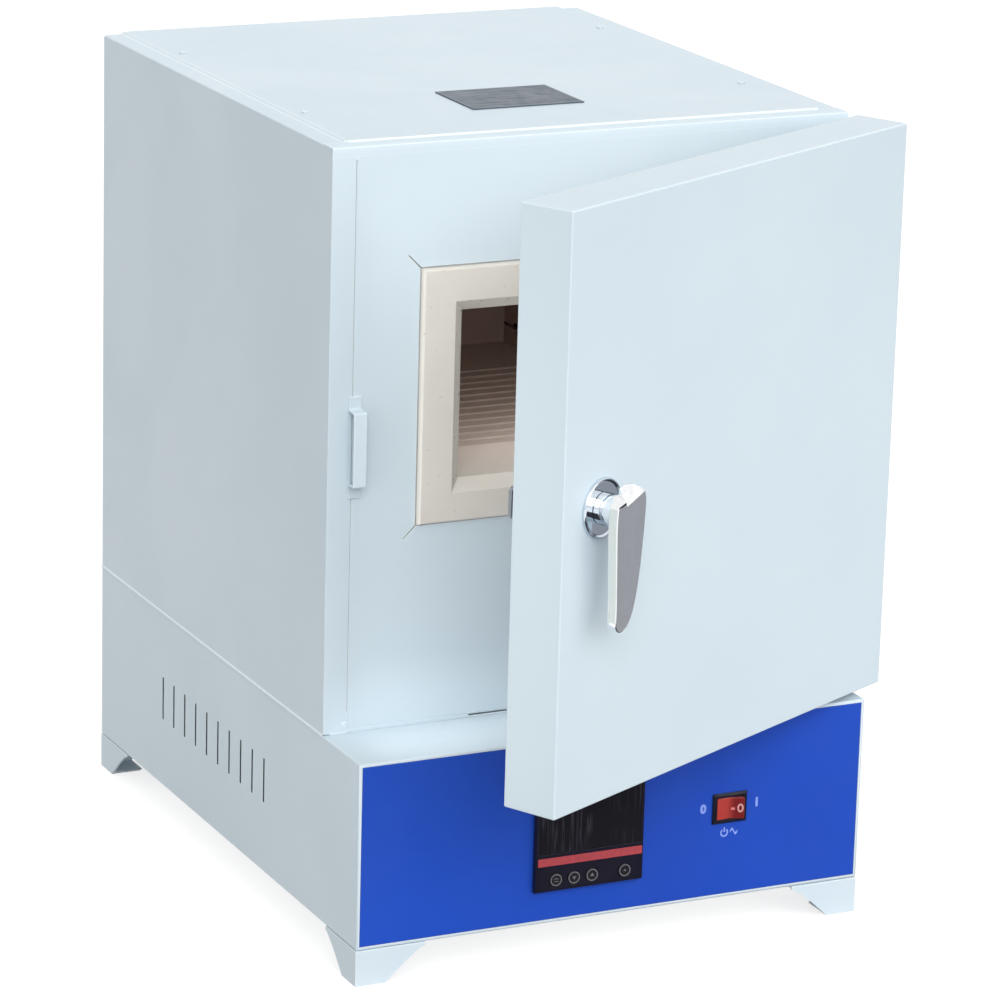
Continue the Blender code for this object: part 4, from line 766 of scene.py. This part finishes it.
def strip(x, y, z):
    """A straight bar with broken edges, between its two ends in each direction."""
    low = Vector((min(x), min(y), min(z)))
    high = Vector((max(x), max(y), max(z)))
    shape = bmesh.new()
    bmesh.ops.create_cube(shape, size=1.0)
    bmesh.ops.bevel(shape, geom=shape.edges[:], offset=0.08, segments=1, affect="EDGES")
    return moved(shape, Matrix.Translation((low + high) / 2) @ Matrix.Diagonal((*(high - low), 1.0)))


def cross_screw_head(radius, rise):
    """A domed screw head with a cross recess, standing on z = 0."""
    rows = 16
    recess, arm, reach = rise * 0.55, radius * 0.15, radius * 0.62
    profile = [(radius * row / rows, rise * (1 - 0.55 * (row / rows) ** 2)) for row in range(rows + 1)]
    shape = turned(profile + [(radius, 0), (0, 0)], 64)
    for vertex in shape.verts:
        x, y, z = vertex.co
        if z > rise * 0.4 and math.hypot(x, y) < reach and (abs(x) < arm or abs(y) < arm):
            vertex.co.z = z - recess
    return shape


def screw(name, body, x, y, z, turn, radius=0.0038, rise=0.0016, place=KILN, coat=ZINC):
    """A screw head, stopped at an angle that its place decides."""
    head = cross_screw_head(radius, rise)
    spin = Matrix.Rotation(1.7 * x + 2.3 * z + 40.0 * y, 4, "Z")
    return new_piece(name, head, body, coat, place @ at(x, y, z, turn @ spin), sharp_deg=30)


def figure(digit):
    """A plain figure as a thin raised print, drawn centred in XY."""
    curve = bpy.data.curves.new("figure", "FONT")
    curve.body = digit
    curve.size = 0.0100
    curve.align_x = "CENTER"
    curve.align_y = "CENTER"
    curve.extrude = 0.00005
    curve.offset = 0.0006
    curve.resolution_u = 4
    flat = add_object("figure", curve)
    mesh = bpy.data.meshes.new_from_object(flat.evaluated_get(bpy.context.evaluated_depsgraph_get()))
    bpy.data.objects.remove(flat)
    bpy.data.curves.remove(curve)
    shape = bmesh.new()
    shape.from_mesh(mesh)
    bpy.data.meshes.remove(mesh)
    return shape


def build_cover_screws():
    """The cover's four screws."""
    places = [(side * 0.1945, y) for side, _ in SIDES for y in (0.125, 0.384)]
    for number, (x, y) in enumerate(places, 1):
        head = screw("cover_screw_" + str(number), "cabinet", x, y, COVER_TOP, TO_TOP,
                     radius=0.0030, rise=0.0015, coat=BRIGHT_ZINC)
        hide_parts("top_cover_screw_" + str(number))


def build_edge_paint():
    """Paint along the cover's front and left edges, and along the front of the case's top."""
    front = [(-HAIR, -0.00005), (0.0019, 0.00002), (0.0012, 0.00065), (0.0004, 0.00168), (-HAIR, 0.00184)]
    left = [(-HAIR, -0.00005), (0.0044, -0.00005), (0.0040, 0.00015), (0.0005, 0.00168), (-HAIR, 0.00184)]
    front_ends = [(-HALF_COVER, COVER_FRONT, 0, -1), (HALF_COVER, COVER_FRONT, 0, -1)]
    left_ends = [(-HALF_COVER, COVER_REAR, -1, 0), (-HALF_COVER, COVER_FRONT + HAIR, -1, 0)]
    edges = [run_along(front_ends, front, CASE_TOP), run_along(left_ends, left, CASE_TOP)]
    painted("cover_edge_paint", joined(edges))
    reach, under_cover = HALF_CASE - HAIR, -0.0168
    brow = [(-0.0001, -0.0100), (0.0003, -0.0008), (0.00005, 0.0001), (-0.0006, 0.00035),
            (under_cover, 0.0004), (under_cover, -0.0004), (-0.0010, -0.0010)]
    painted("front_edge_paint", run_along([(-reach, 0, 0, -1), (reach, 0, 0, -1)], brow, CASE_TOP))


def build_plate_lines():
    """The border and the blank ruled lines of the plate on the cover."""
    plate_top = at(-0.0145, 0.129, COVER_TOP + 0.00091)
    width, height, border = 0.0965, 0.0715, 0.0015
    outer = rounded_rectangle(width, height, corner=0.001, steps=2)
    inner = rounded_rectangle(width - border, height - border, corner=0.0008, steps=2)
    shapes = [outlined(outer, 0, LINE_RISE, inner)]
    for row in range(6):
        low = 0.024 - row * 0.0095
        shapes.append(flat_bar(-0.040, 0.040, low, low + 0.0004, LINE_RISE))
    new_piece("plate_lines", joined(shapes), "cabinet", PLATE_INK, KILN @ plate_top)


def build_base_details():
    """Dark sheets just inside the side slots, a painted shade for them, and the painted ridges along the top
    edges of the base's sides.
    """
    slots, first, pitch, half_slot = 10, 0.118, 0.0248, 0.00159
    ridge = [(-HAIR, -0.0015), (0.0009, -0.0003), (-HAIR, 0.0018)]
    for side, name in SIDES:
        shapes = []
        for number in range(slots):
            y = first + number * pitch
            wall = (side * (HALF_CASE - 0.0010), side * (HALF_CASE - 0.0001))
            shapes.append(strip(wall, (y - half_slot, y + half_slot), (0.09005, 0.12795)))
        # Painted shade: a dark sheet behind the slots stands in for the shade inside them
        new_piece("vent_mesh_" + name, joined(shapes), "cabinet", SLOT_SHADE)
        ends = [(side * HALF_CASE, 0.0005, side, 0), (side * HALF_CASE, 0.4885, side, 0)]
        painted("base_edge_paint_" + name, run_along(ends, ridge, DECK))


def build_keeper():
    """The keeper: a strap bent square, so that its limbs stand straight out from the face."""
    left, right, middle = -0.2080, -0.1972, 0.4195
    outside = [(0.0015, 0.0412), (0.0015, 0.0308), (0.0108, 0.0300), (0.0118, 0.0297), (0.0125, 0.0287)]
    inside = [(0.0109, 0.0277), (0.0105, 0.0283), (0.0099, 0.0286), (0.0001, 0.0294), (0.0001, 0.0412)]
    section = outside + [(out, -height) for out, height in reversed(outside)]
    section += [(out, -height) for out, height in reversed(inside)] + inside
    strap = painted("keeper_strap", run_along([(left, 0, 0, -1), (right, 0, 0, -1)], section, middle))
    round_edges(strap, 0.0004)
    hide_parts("keeper")


def build_face_details():
    """Paint that bridges the face's seams, and the small painted screws low on the face."""
    plate_edge, flange_corner, fill_end = 0.2040, 0.2192, -0.0980
    foot, head, depth = DECK + 0.0001, CASE_TOP - 0.0008, (0.0007, 0.0020)
    shapes = []
    for side, name in SIDES:
        seam = (side * (plate_edge + 0.00005), side * (plate_edge + 0.00095))
        shapes.append(strip(seam, (0.0034, 0.0041), (DECK + 0.0002, head)))
        shapes.append(strip(seam, (0.0001, 0.0036), (foot, DECK + 0.0180)))
        flange = (side * plate_edge, side * flange_corner)
        shapes.append(strip(flange, (-0.0001, 0.0010), (foot, DECK + 0.0014)))
        screw("face_screw_" + name, "cabinet", side * 0.2068, 0.0002, DECK + 0.0075, TO_FRONT,
              radius=0.0026, rise=0.0010, coat=PALE_COAT)
        shapes.append(strip((side * 0.1842, side * 0.1852), (0.0012, 0.0330), (head, CASE_TOP + 0.00008)))
    shapes.append(strip((-plate_edge, fill_end), depth, (foot, DECK + 0.0036)))
    shapes.append(strip((fill_end, plate_edge), depth, (foot, DECK + 0.0016)))
    painted("seam_paint", joined(shapes))


def build_collar_packing():
    """A grey rope in the gap round the mouth collar, whose grey is a painted shade for the gap."""
    low, high, reach, gap, notch = 0.3502, 0.5588, 0.1493, 0.0013, 0.0042
    depth = (0.0003, 0.0060)
    shapes = [strip((-reach, gap - reach), depth, (low + notch, high)),
              strip((reach - gap, reach), depth, (low, high)),
              strip((-reach, reach), depth, (high - gap, high)),
              strip((notch - reach, reach), depth, (low, low + gap))]
    new_piece("collar_packing", joined(shapes), "cabinet", GAP_SHADE_ROPE, KILN)


def build_controller_face():
    """The red stripe, and the rings and marks printed on the four keys."""
    stripe = outlined(rounded_rectangle(0.0925, 0.0068, corner=0.0004, steps=2), 0, 0.00025)
    printed("controller_stripe", stripe, STRIPE_INK, -0.0245, -0.078, 0.0842)
    bow = moved(flat_ring(0.0026, 0.0026, 0.0007, start=40, sweep=100, steps=10), at(0, -0.001, 0))
    half, tip = 0.0019, 0.0020
    arrow = [(-half, -tip / 2), (half, -tip / 2), (0, tip)]
    down_arrow = [(x, -y) for x, y in arrow]
    small_arrow = [(0.7 * x, 0.7 * y) for x, y in arrow]
    marks = [[bow, flat_bar(-0.002, 0.002, -0.0016, -0.001)]]
    marks += [[outlined(points, 0, PRINT_RISE)] for points in (down_arrow, arrow, small_arrow)]
    for number, (x, mark) in enumerate(zip((-0.0545, -0.03852, -0.02248, 0.0067), marks), 1):
        ring = flat_ring(0.0050, 0.0050, 0.0009, steps=36)
        key = "key_" + str(number)
        printed("key_mark_" + str(number), joined([ring] + mark), KEY_INK, x, -0.07861, 0.0685, key)


def build_switch_labels():
    """The switch's plain figures, its power and current marks, and the marks on the rocker."""
    panel = -LEDGE - 0.00002
    printed("label_off", figure("0"), LABEL_INK, 0.0794, panel, 0.1081)
    printed("label_on", figure("1"), LABEL_INK, 0.1283, panel, 0.1082)
    open_ring = flat_ring(0.0037, 0.0037, 0.0014, start=127.0, sweep=286.0)
    power = joined([open_ring, flat_bar(-0.0007, 0.0007, 0.0006, 0.0044)])
    printed("power_mark", power, LABEL_INK, 0.0995, panel, 0.0858)
    length, swing, half_band, steps = 0.0068, 0.0021, 0.0011, 24
    wave = [(length * (step / steps - 0.5), swing * math.sin(2 * math.pi * step / steps))
            for step in range(steps + 1)]
    band = [(u, v + half_band) for u, v in wave] + [(u, v - half_band) for u, v in reversed(wave)]
    printed("current_mark", outlined(band, 0, PRINT_RISE), LABEL_INK, 0.1082, panel, 0.0860)
    slope, middle, height = math.atan2(0.0026, 0.0116), 0.0060, 0.00357
    lean_right = Matrix.Rotation(-slope, 4, "Z") @ TO_FRONT
    dash = outlined(rounded_rectangle(0.0034, 0.0022, corner=0.0008, steps=3), 0, PRINT_RISE)
    for name, mark, ink, x, z in (("rocker_off_mark", flat_ring(0.0026, 0.0037, 0.0013), MARK_INK, 0.0084, 0),
                                  ("rocker_on_mark", dash, DASH_INK, 0.0024, -0.0006)):
        y = -height - (x - middle) * math.tan(slope)
        new_piece(name, mark, "rocker", ink, ROCKER @ at(x, y, z, lean_right))


def smooth_loop(points, cuts):
    """A closed curve through points, with cuts points for each."""
    count = len(points)
    curve = []
    for index in range(count):
        before, here, after, later = (Vector(points[(index + step) % count]) for step in (-1, 0, 1, 2))
        for cut in range(cuts):
            t = cut / cuts
            bend = 2 * before - 5 * here + 4 * after - later
            swing = -before + 3 * here - 3 * after + later
            curve.append(here + 0.5 * (t * (after - before) + t ** 2 * bend + t ** 3 * swing))
    return curve


def rounded_slab(loop, front, back, corner, steps=4):
    """A slab whose outline in XZ is a loop that turns to the left, with rounded front and rear edges."""
    count = len(loop)
    inward = []
    for index in range(count):
        along = (loop[(index + 1) % count] - loop[index - 1]).normalized()
        inward.append(Vector((-along.y, along.x)))
    levels = [(corner + 0.0003, front)]
    for step in range(steps + 1):
        angle = math.radians(90 * step / steps)
        levels.append((corner * (1 - math.sin(angle)), front + corner * (1 - math.cos(angle))))
    levels += [(inset, front + back - depth) for inset, depth in reversed(levels)]
    shape = bmesh.new()
    rings = []
    for inset, depth in levels:
        rings.append([shape.verts.new((spot.x + inset * way.x, depth, spot.y + inset * way.y))
                      for spot, way in zip(loop, inward)])
    return skin_over(shape, rings)


def lever_blade():
    """The lever's blade: a broad head that tapers to a round tip, with a brow cut across the head.

    The brow is level at the left and slanted at the right, so the blade is cut in two halves."""
    left_side = [(-0.0188, 0.0020), (-0.0182, -0.0120), (-0.0158, -0.0320), (-0.0136, -0.0500),
                 (-0.0118, -0.0660), (-0.0108, -0.0780)]
    tip = [(-0.0100, -0.0842), (-0.0080, -0.0876), (-0.0048, -0.0892), (-0.0008, -0.0888), (0.0032, -0.0866)]
    right_side = [(0.0068, -0.0826), (0.0096, -0.0768), (0.0116, -0.0700), (0.0130, -0.0630),
                  (0.0147, -0.0500), (0.0157, -0.0360), (0.0164, -0.0180), (0.0166, -0.0040)]
    head = [(0.0165, 0.0060), (0.0156, 0.0126), (0.0132, 0.0172), (0.0092, 0.0203), (0.0042, 0.0218),
            (-0.0012, 0.0218), (-0.0066, 0.0206), (-0.0118, 0.0180), (-0.0158, 0.0140), (-0.0182, 0.0085)]
    outline = smooth_loop(left_side + tip + right_side + head, 3)
    front, back, middle = -0.0291, -0.0206, -0.0079
    brow_foot, brow_head = (middle, front, 0.0073), (middle, front + 0.0012, 0.0103)
    left_cuts = [((-1, 0, 0), brow_foot), ((-0.24, -0.81, 0.53), brow_foot)]
    right_cuts = [((1, 0, 0), brow_foot), ((0, -0.93, 0.37), brow_foot), ((-0.15, -0.55, 0.82), brow_head)]
    halves = []
    for cuts in (left_cuts, right_cuts):
        half = rounded_slab(outline, front, back, corner=0.0008)
        for way, spot in cuts:
            bmesh.ops.bisect_plane(half, geom=half.verts[:] + half.edges[:] + half.faces[:], dist=0.000001,
                                   plane_co=spot, plane_no=way, clear_outer=True)
            rim = [edge for edge in half.edges if edge.is_boundary]
            made = bmesh.ops.contextual_create(half, geom=rim)["faces"]
        brow = [edge for face in made for edge in face.edges]
        bmesh.ops.bevel(half, geom=brow, offset=0.0007, segments=3, affect="EDGES", clamp_overlap=True)
        halves.append(half)
    return joined(halves)


def build_handle():
    """The chromed rosette, and the lever with its fat neck."""
    bore = 0.0062
    profile = [(bore, 0.0010), (0.0196, 0.0010), (0.0202, 0.0010), (0.0207, 0.0013), (0.0212, 0.0020),
               (0.0218, 0.0026), (0.0225, 0.0027), (0.0231, 0.0022), (0.0235, 0.0012), (0.0235, 0.0),
               (bore, 0.0)]
    x, y, z = HANDLE_AXIS
    rosette = new_piece("rosette", turned(profile, steps=96), "door", ROSETTE_CHROME,
                        DOOR @ at(x, y - 0.0003, z, TO_FRONT))
    round_edges(rosette, 0.0)
    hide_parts("handle_rosette")
    profile = [(bore, 0.0016), (0.0121, 0.0016), (0.0124, 0.0020), (0.0124, 0.0024), (0.0124, 0.0195),
               (0.0127, 0.0204), (0.0134, 0.0210), (0.0134, 0.0216), (0, 0.0216), (0, 0.0210), (bore, 0.0210),
               (bore, 0.0016)]
    neck = moved(turned(profile, steps=72), TO_FRONT)
    lever = new_piece("lever", joined([lever_blade(), neck]), "handle", CHROME, LEVER,
                      sharp_deg=28)
    round_edges(lever, 0.0)
    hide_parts("handle_lever")


def coiled(line, radius, pitch, stride):
    """The turns of a coil round a line whose points are a stride apart."""
    points = []
    across = Vector((1, 0, 0))
    for index, point in enumerate(line):
        ahead = line[min(index + 4, len(line) - 1)] - line[max(index - 4, 0)]
        ahead.normalize()
        angle = 2 * math.pi * index * stride / pitch
        points.append(point + radius * (math.cos(angle) * across + math.sin(angle) * ahead.cross(across)))
    return points


def build_heaters():
    """Coiled heating wire in the chamber's side channels, with straight tails through the wall."""
    runs, low, rise = 4, 0.385, 0.136
    heights = [low + rise / runs * (run + 0.5) for run in range(runs)]
    front, back, reach, stride = 0.1085, 0.3640, 0.1153, 0.00022
    for side, name in SIDES:
        corners = []
        for run, height in enumerate(heights):
            ends = (back, front) if run % 2 == 0 else (front, back)
            corners += [Vector((side * reach, end, height)) for end in ends]
        line = [corners[0]]
        for before, after in zip(corners, corners[1:]):
            count = max(1, round((after - before).length / stride))
            line += [before.lerp(after, (step + 1) / count) for step in range(count)]
        shapes = [tube(coiled(line, 0.0026, 0.0030, stride), radius=0.0006, sides=5)]
        for end in (corners[0], corners[-1]):
            tail = [Vector((end.x, y, end.z)) for y in (0.362, 0.40, 0.44, 0.475)]
            shapes.append(tube(tail, radius=0.0013, sides=8))
        coil = new_piece("heater_coil_" + name, joined(shapes), "cabinet", WIRE, KILN,
                         sharp_deg=60)
        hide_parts("heater_" + name)


def build_rear_screws():
    """Screws round the rear panels of the case and the base."""
    middle = (0, 0.421)
    case_places = [(x, z) for x in (-0.211, 0, 0.211) for z in (0.200, 0.421, 0.642) if (x, z) != middle]
    base_places = [(x, z) for x in (-0.212, 0, 0.212) for z in (0.0435, 0.1715)]
    for name, places in (("rear_screw_", case_places), ("base_rear_screw_", base_places)):
        for number, (x, z) in enumerate(places, 1):
            screw(name + str(number), "cabinet", x, REAR_SKIN, z, TO_REAR)


def build_rear_fittings():
    """The thermocouple head and the cable gland."""
    seat = REAR_SKIN + 0.0002
    lid = [(0, 0.0420), (0.006, 0.0419), (0.013, 0.0412), (0.0185, 0.0398), (0.0207, 0.0382),
           (0.0214, 0.0362), (0.0214, 0.0336), (0.0220, 0.0334), (0.0220, 0.0306)]
    pot = [(0.0212, 0.0302), (0.0212, 0.0180), (0.0200, 0.0155), (0.0150, 0.0142), (0.0105, 0.0138),
           (0.0092, 0.0130), (0.0092, 0.0), (0.0043, 0.0), (0.0043, 0.0073), (0, 0.0073)]
    nut = outlined(arc(0.0128, 0.0128, steps=6), 0.0005, 0.0065)
    cap = new_piece("thermocouple_cap", joined([turned(lid + pot, steps=72), nut]), "cabinet", CAST,
                    KILN @ at(0, seat, 0.483, TO_REAR))
    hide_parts("thermocouple_head")
    bore, flange_rise = 0.0046, 0.0055
    flange = outlined(arc(0.0140, 0.0140, steps=6), 0.0, flange_rise, arc(bore, bore, steps=6))
    dome = turned([(bore, 0.0228), (0.0072, 0.0228), (0.0086, 0.0220), (0.0098, 0.0196), (0.0108, 0.0160),
                   (0.0110, 0.0120), (0.0110, flange_rise), (bore, flange_rise), (bore, 0.0228)], 48)
    thread = turned([(bore, 0.0), (0.0092, 0.0), (0.0092, -0.009), (bore, -0.009), (bore, 0.0)], 48)
    gland = new_piece("gland_body", joined([flange, dome, thread]), "cabinet", BLACK_PLASTIC,
                      KILN @ at(-0.130, seat, 0.080, TO_REAR))
    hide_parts("cable_gland")


def build_door_fittings():
    """Screws round the door's back plate, placed to clear the keeper."""
    columns = ((-0.202, (0.211, 0.325, 0.525, 0.639)), (0, (0.211, 0.639)), (0.189, (0.211, 0.425, 0.639)))
    places = [(x, z) for x, heights in columns for z in heights]
    for number, (x, z) in enumerate(places, 1):
        screw("door_screw_" + str(number), "door", x, -0.0135, z, TO_REAR,
              radius=0.0034, rise=0.0013, place=DOOR)


def seen_straight(tree):
    """1 for what is seen itself, in a mirror or through glass, and 0 for the light that falls on the kiln."""
    seen = put(tree, "ShaderNodeLightPath").outputs
    straight = maths(tree, "MAXIMUM", seen["Is Camera Ray"], seen["Is Glossy Ray"])
    return maths(tree, "MAXIMUM", straight, seen["Is Transmission Ray"])


def stage_sheet(name, corners, coat):
    """A flat sheet of the surroundings."""
    shape = bmesh.new()
    shape.faces.new([shape.verts.new(corner) for corner in corners])
    mesh = mesh_of(name, shape)
    mesh.materials.append(coat)
    return add_object(name, mesh)


def level(left, right, near, far, height):
    """The corners of a sheet that lies flat."""
    return [(left, near, height), (right, near, height), (right, far, height), (left, far, height)]


def upright(x, near, far, low, high):
    """The corners of a sheet that stands across the X axis."""
    return [(x, near, low), (x, far, low), (x, far, high), (x, near, high)]


def build_floor():
    """A plain pale floor that goes on behind the kiln as far as the camera sees."""
    coat, tree, shader = finish("studio_floor", Base_Color=(0.40, 0.40, 0.40), Roughness=0.9,
                                Emission_Color=(1, 1, 1))
    feed(tree, shader["Emission Strength"], times(tree, seen_straight(tree), 0.72))
    reach = 45.0
    floor = stage_sheet("studio_floor", level(-reach, reach, -reach, reach, 0), coat)


def reflected_card(name, colour, corners):
    """A card that only mirror rays see, as they would a wall or a table top of the room."""
    coat = finish(name, Base_Color=(0, 0, 0), Roughness=1.0, Emission_Color=colour,
                  Emission_Strength=1.0, Specular_IOR_Level=0.0)[0]
    card = stage_sheet(name, corners, coat)
    for ray in ("camera", "diffuse", "shadow", "transmission", "volume_scatter"):
        setattr(card, "visible_" + ray, False)


def hang_lamp(name, kind, energy, way):
    """A lamp that hangs the given way from what it lights."""
    lamp = add_object(name, bpy.data.lights.new(name, kind))
    lamp.data.energy = energy
    lamp.rotation_euler = Vector(way).to_track_quat("Z", "Y").to_euler()
    return lamp


def hang_broad_lamp(name, way, energy, spread):
    """A soft lamp far away, whose light is the same all over the kiln."""
    lamp = hang_lamp(name, "SUN", energy, way)
    lamp.data.angle = math.radians(spread)


def hang_small_lamp(name, place, way, energy, wide, high, spread):
    """A small soft lamp near the kiln, which neither the camera nor a mirror sees."""
    lamp = hang_lamp(name, "AREA", energy, way)
    lamp.data.shape = "RECTANGLE"
    lamp.data.size = wide
    lamp.data.size_y = high
    lamp.data.spread = math.radians(spread)
    lamp.location = place
    lamp.visible_camera = False
    lamp.visible_glossy = False
    return lamp


def keep_light_to(lamp, names):
    """Let a lamp light only these pieces, so that the door is left alone wherever it stands."""
    lit = bpy.data.collections.new("lit_by_" + lamp.name)
    for name in names.split():
        lit.objects.link(bpy.data.objects[name])
    lamp.light_linking.receiver_collection = lit


def build_lamps():
    """Two broad soft lamps, and small ones for the left side, the face's gap, the ledge and the mouth."""
    hang_broad_lamp("left_lamp", (-0.26, -0.79, 0.56), energy=1.55, spread=45)
    hang_broad_lamp("right_lamp", (0.45, -0.75, 0.48), energy=0.94, spread=50)
    hang_small_lamp("left_card_lamp", (-0.66, -0.33, 0.42), (-1, 0, 0),
                    energy=0.07, wide=0.16, high=0.60, spread=46)
    gap_lamp = hang_small_lamp("gap_lamp", (-0.2335, -0.225, 0.410), (-1, 0, 0),
                               energy=0.20, wide=0.15, high=0.42, spread=100)
    keep_light_to(gap_lamp, "front_plate left_side_panel right_side_panel base_case mouth_collar chamber "
                  "hearth_plate keeper_strap seam_paint collar_packing front_edge_paint face_screw_left")
    hang_small_lamp("ledge_lamp", (-0.080, -0.1745, 0.275), (0, -0.12, 1),
                    energy=0.017, wide=0.26, high=0.020, spread=90)
    hang_small_lamp("mouth_lamp", (0.02, -0.160, 0.505), (0, -0.64, 0.77),
                    energy=0.054, wide=0.14, high=0.06, spread=130)


def build_surroundings():
    """White surroundings, and the cards that chrome reflects."""
    scene = bpy.context.scene
    scene.view_settings.view_transform = "Standard"
    scene.world = bpy.data.worlds.new("studio")
    scene.world.use_nodes = True
    tree = scene.world.node_tree
    sky = tree.nodes["Background"]
    feed(tree, sky.inputs["Color"], (1.0, 1.0, 1.0))
    feed(tree, sky.inputs["Strength"], stretch(tree, seen_straight(tree), 0.0, 1.0, AMBIENT, 1.0))
    grey, dark = (0.345, 0.355, 0.385), (0.03, 0.03, 0.035)
    pale, table = (0.74, 0.81, 0.79), (0.05, 0.05, 0.06)
    reflected_card("grey_wall", grey, upright(x=0.78, near=-1.20, far=0.00, low=0.0, high=0.42))
    reflected_card("dark_rail", dark, upright(x=0.78, near=-1.20, far=0.00, low=0.42, high=0.74))
    reflected_card("dark_doorway", dark, upright(x=0.80, near=0.00, far=0.35, low=0.0, high=0.58))
    reflected_card("pale_wall", pale, upright(x=-0.95, near=-0.70, far=0.30, low=0.0, high=0.45))
    reflected_card("dark_table", table, level(left=-0.55, right=0.70, near=-1.30, far=-0.215, height=0.003))


def build_camera():
    """The photograph's place and direction, worked out from the kiln's measured corners."""
    right = Vector((0.902906, -0.429008, 0.026693)).normalized()
    ahead = Vector((0.418883, 0.864268, -0.278529)).normalized()
    data = bpy.data.cameras.new("product_camera")
    data.lens = 168.31
    data.sensor_width = 36.0
    data.clip_end = 200.0
    camera = add_object("product_camera", data)
    axes = Matrix((right, right.cross(ahead), -ahead)).transposed()
    camera.matrix_world = Matrix.Translation((-1.634309, -3.325929, 1.393610)) @ axes.to_4x4()
    bpy.context.scene.camera = camera


dress_solids()
build_cover_screws()
build_edge_paint()
build_plate_lines()
build_base_details()
build_keeper()
build_face_details()
build_collar_packing()
build_controller_face()
build_switch_labels()
build_handle()
build_heaters()
build_rear_screws()
build_rear_fittings()
build_door_fittings()
build_floor()
build_lamps()
build_surroundings()
build_camera()
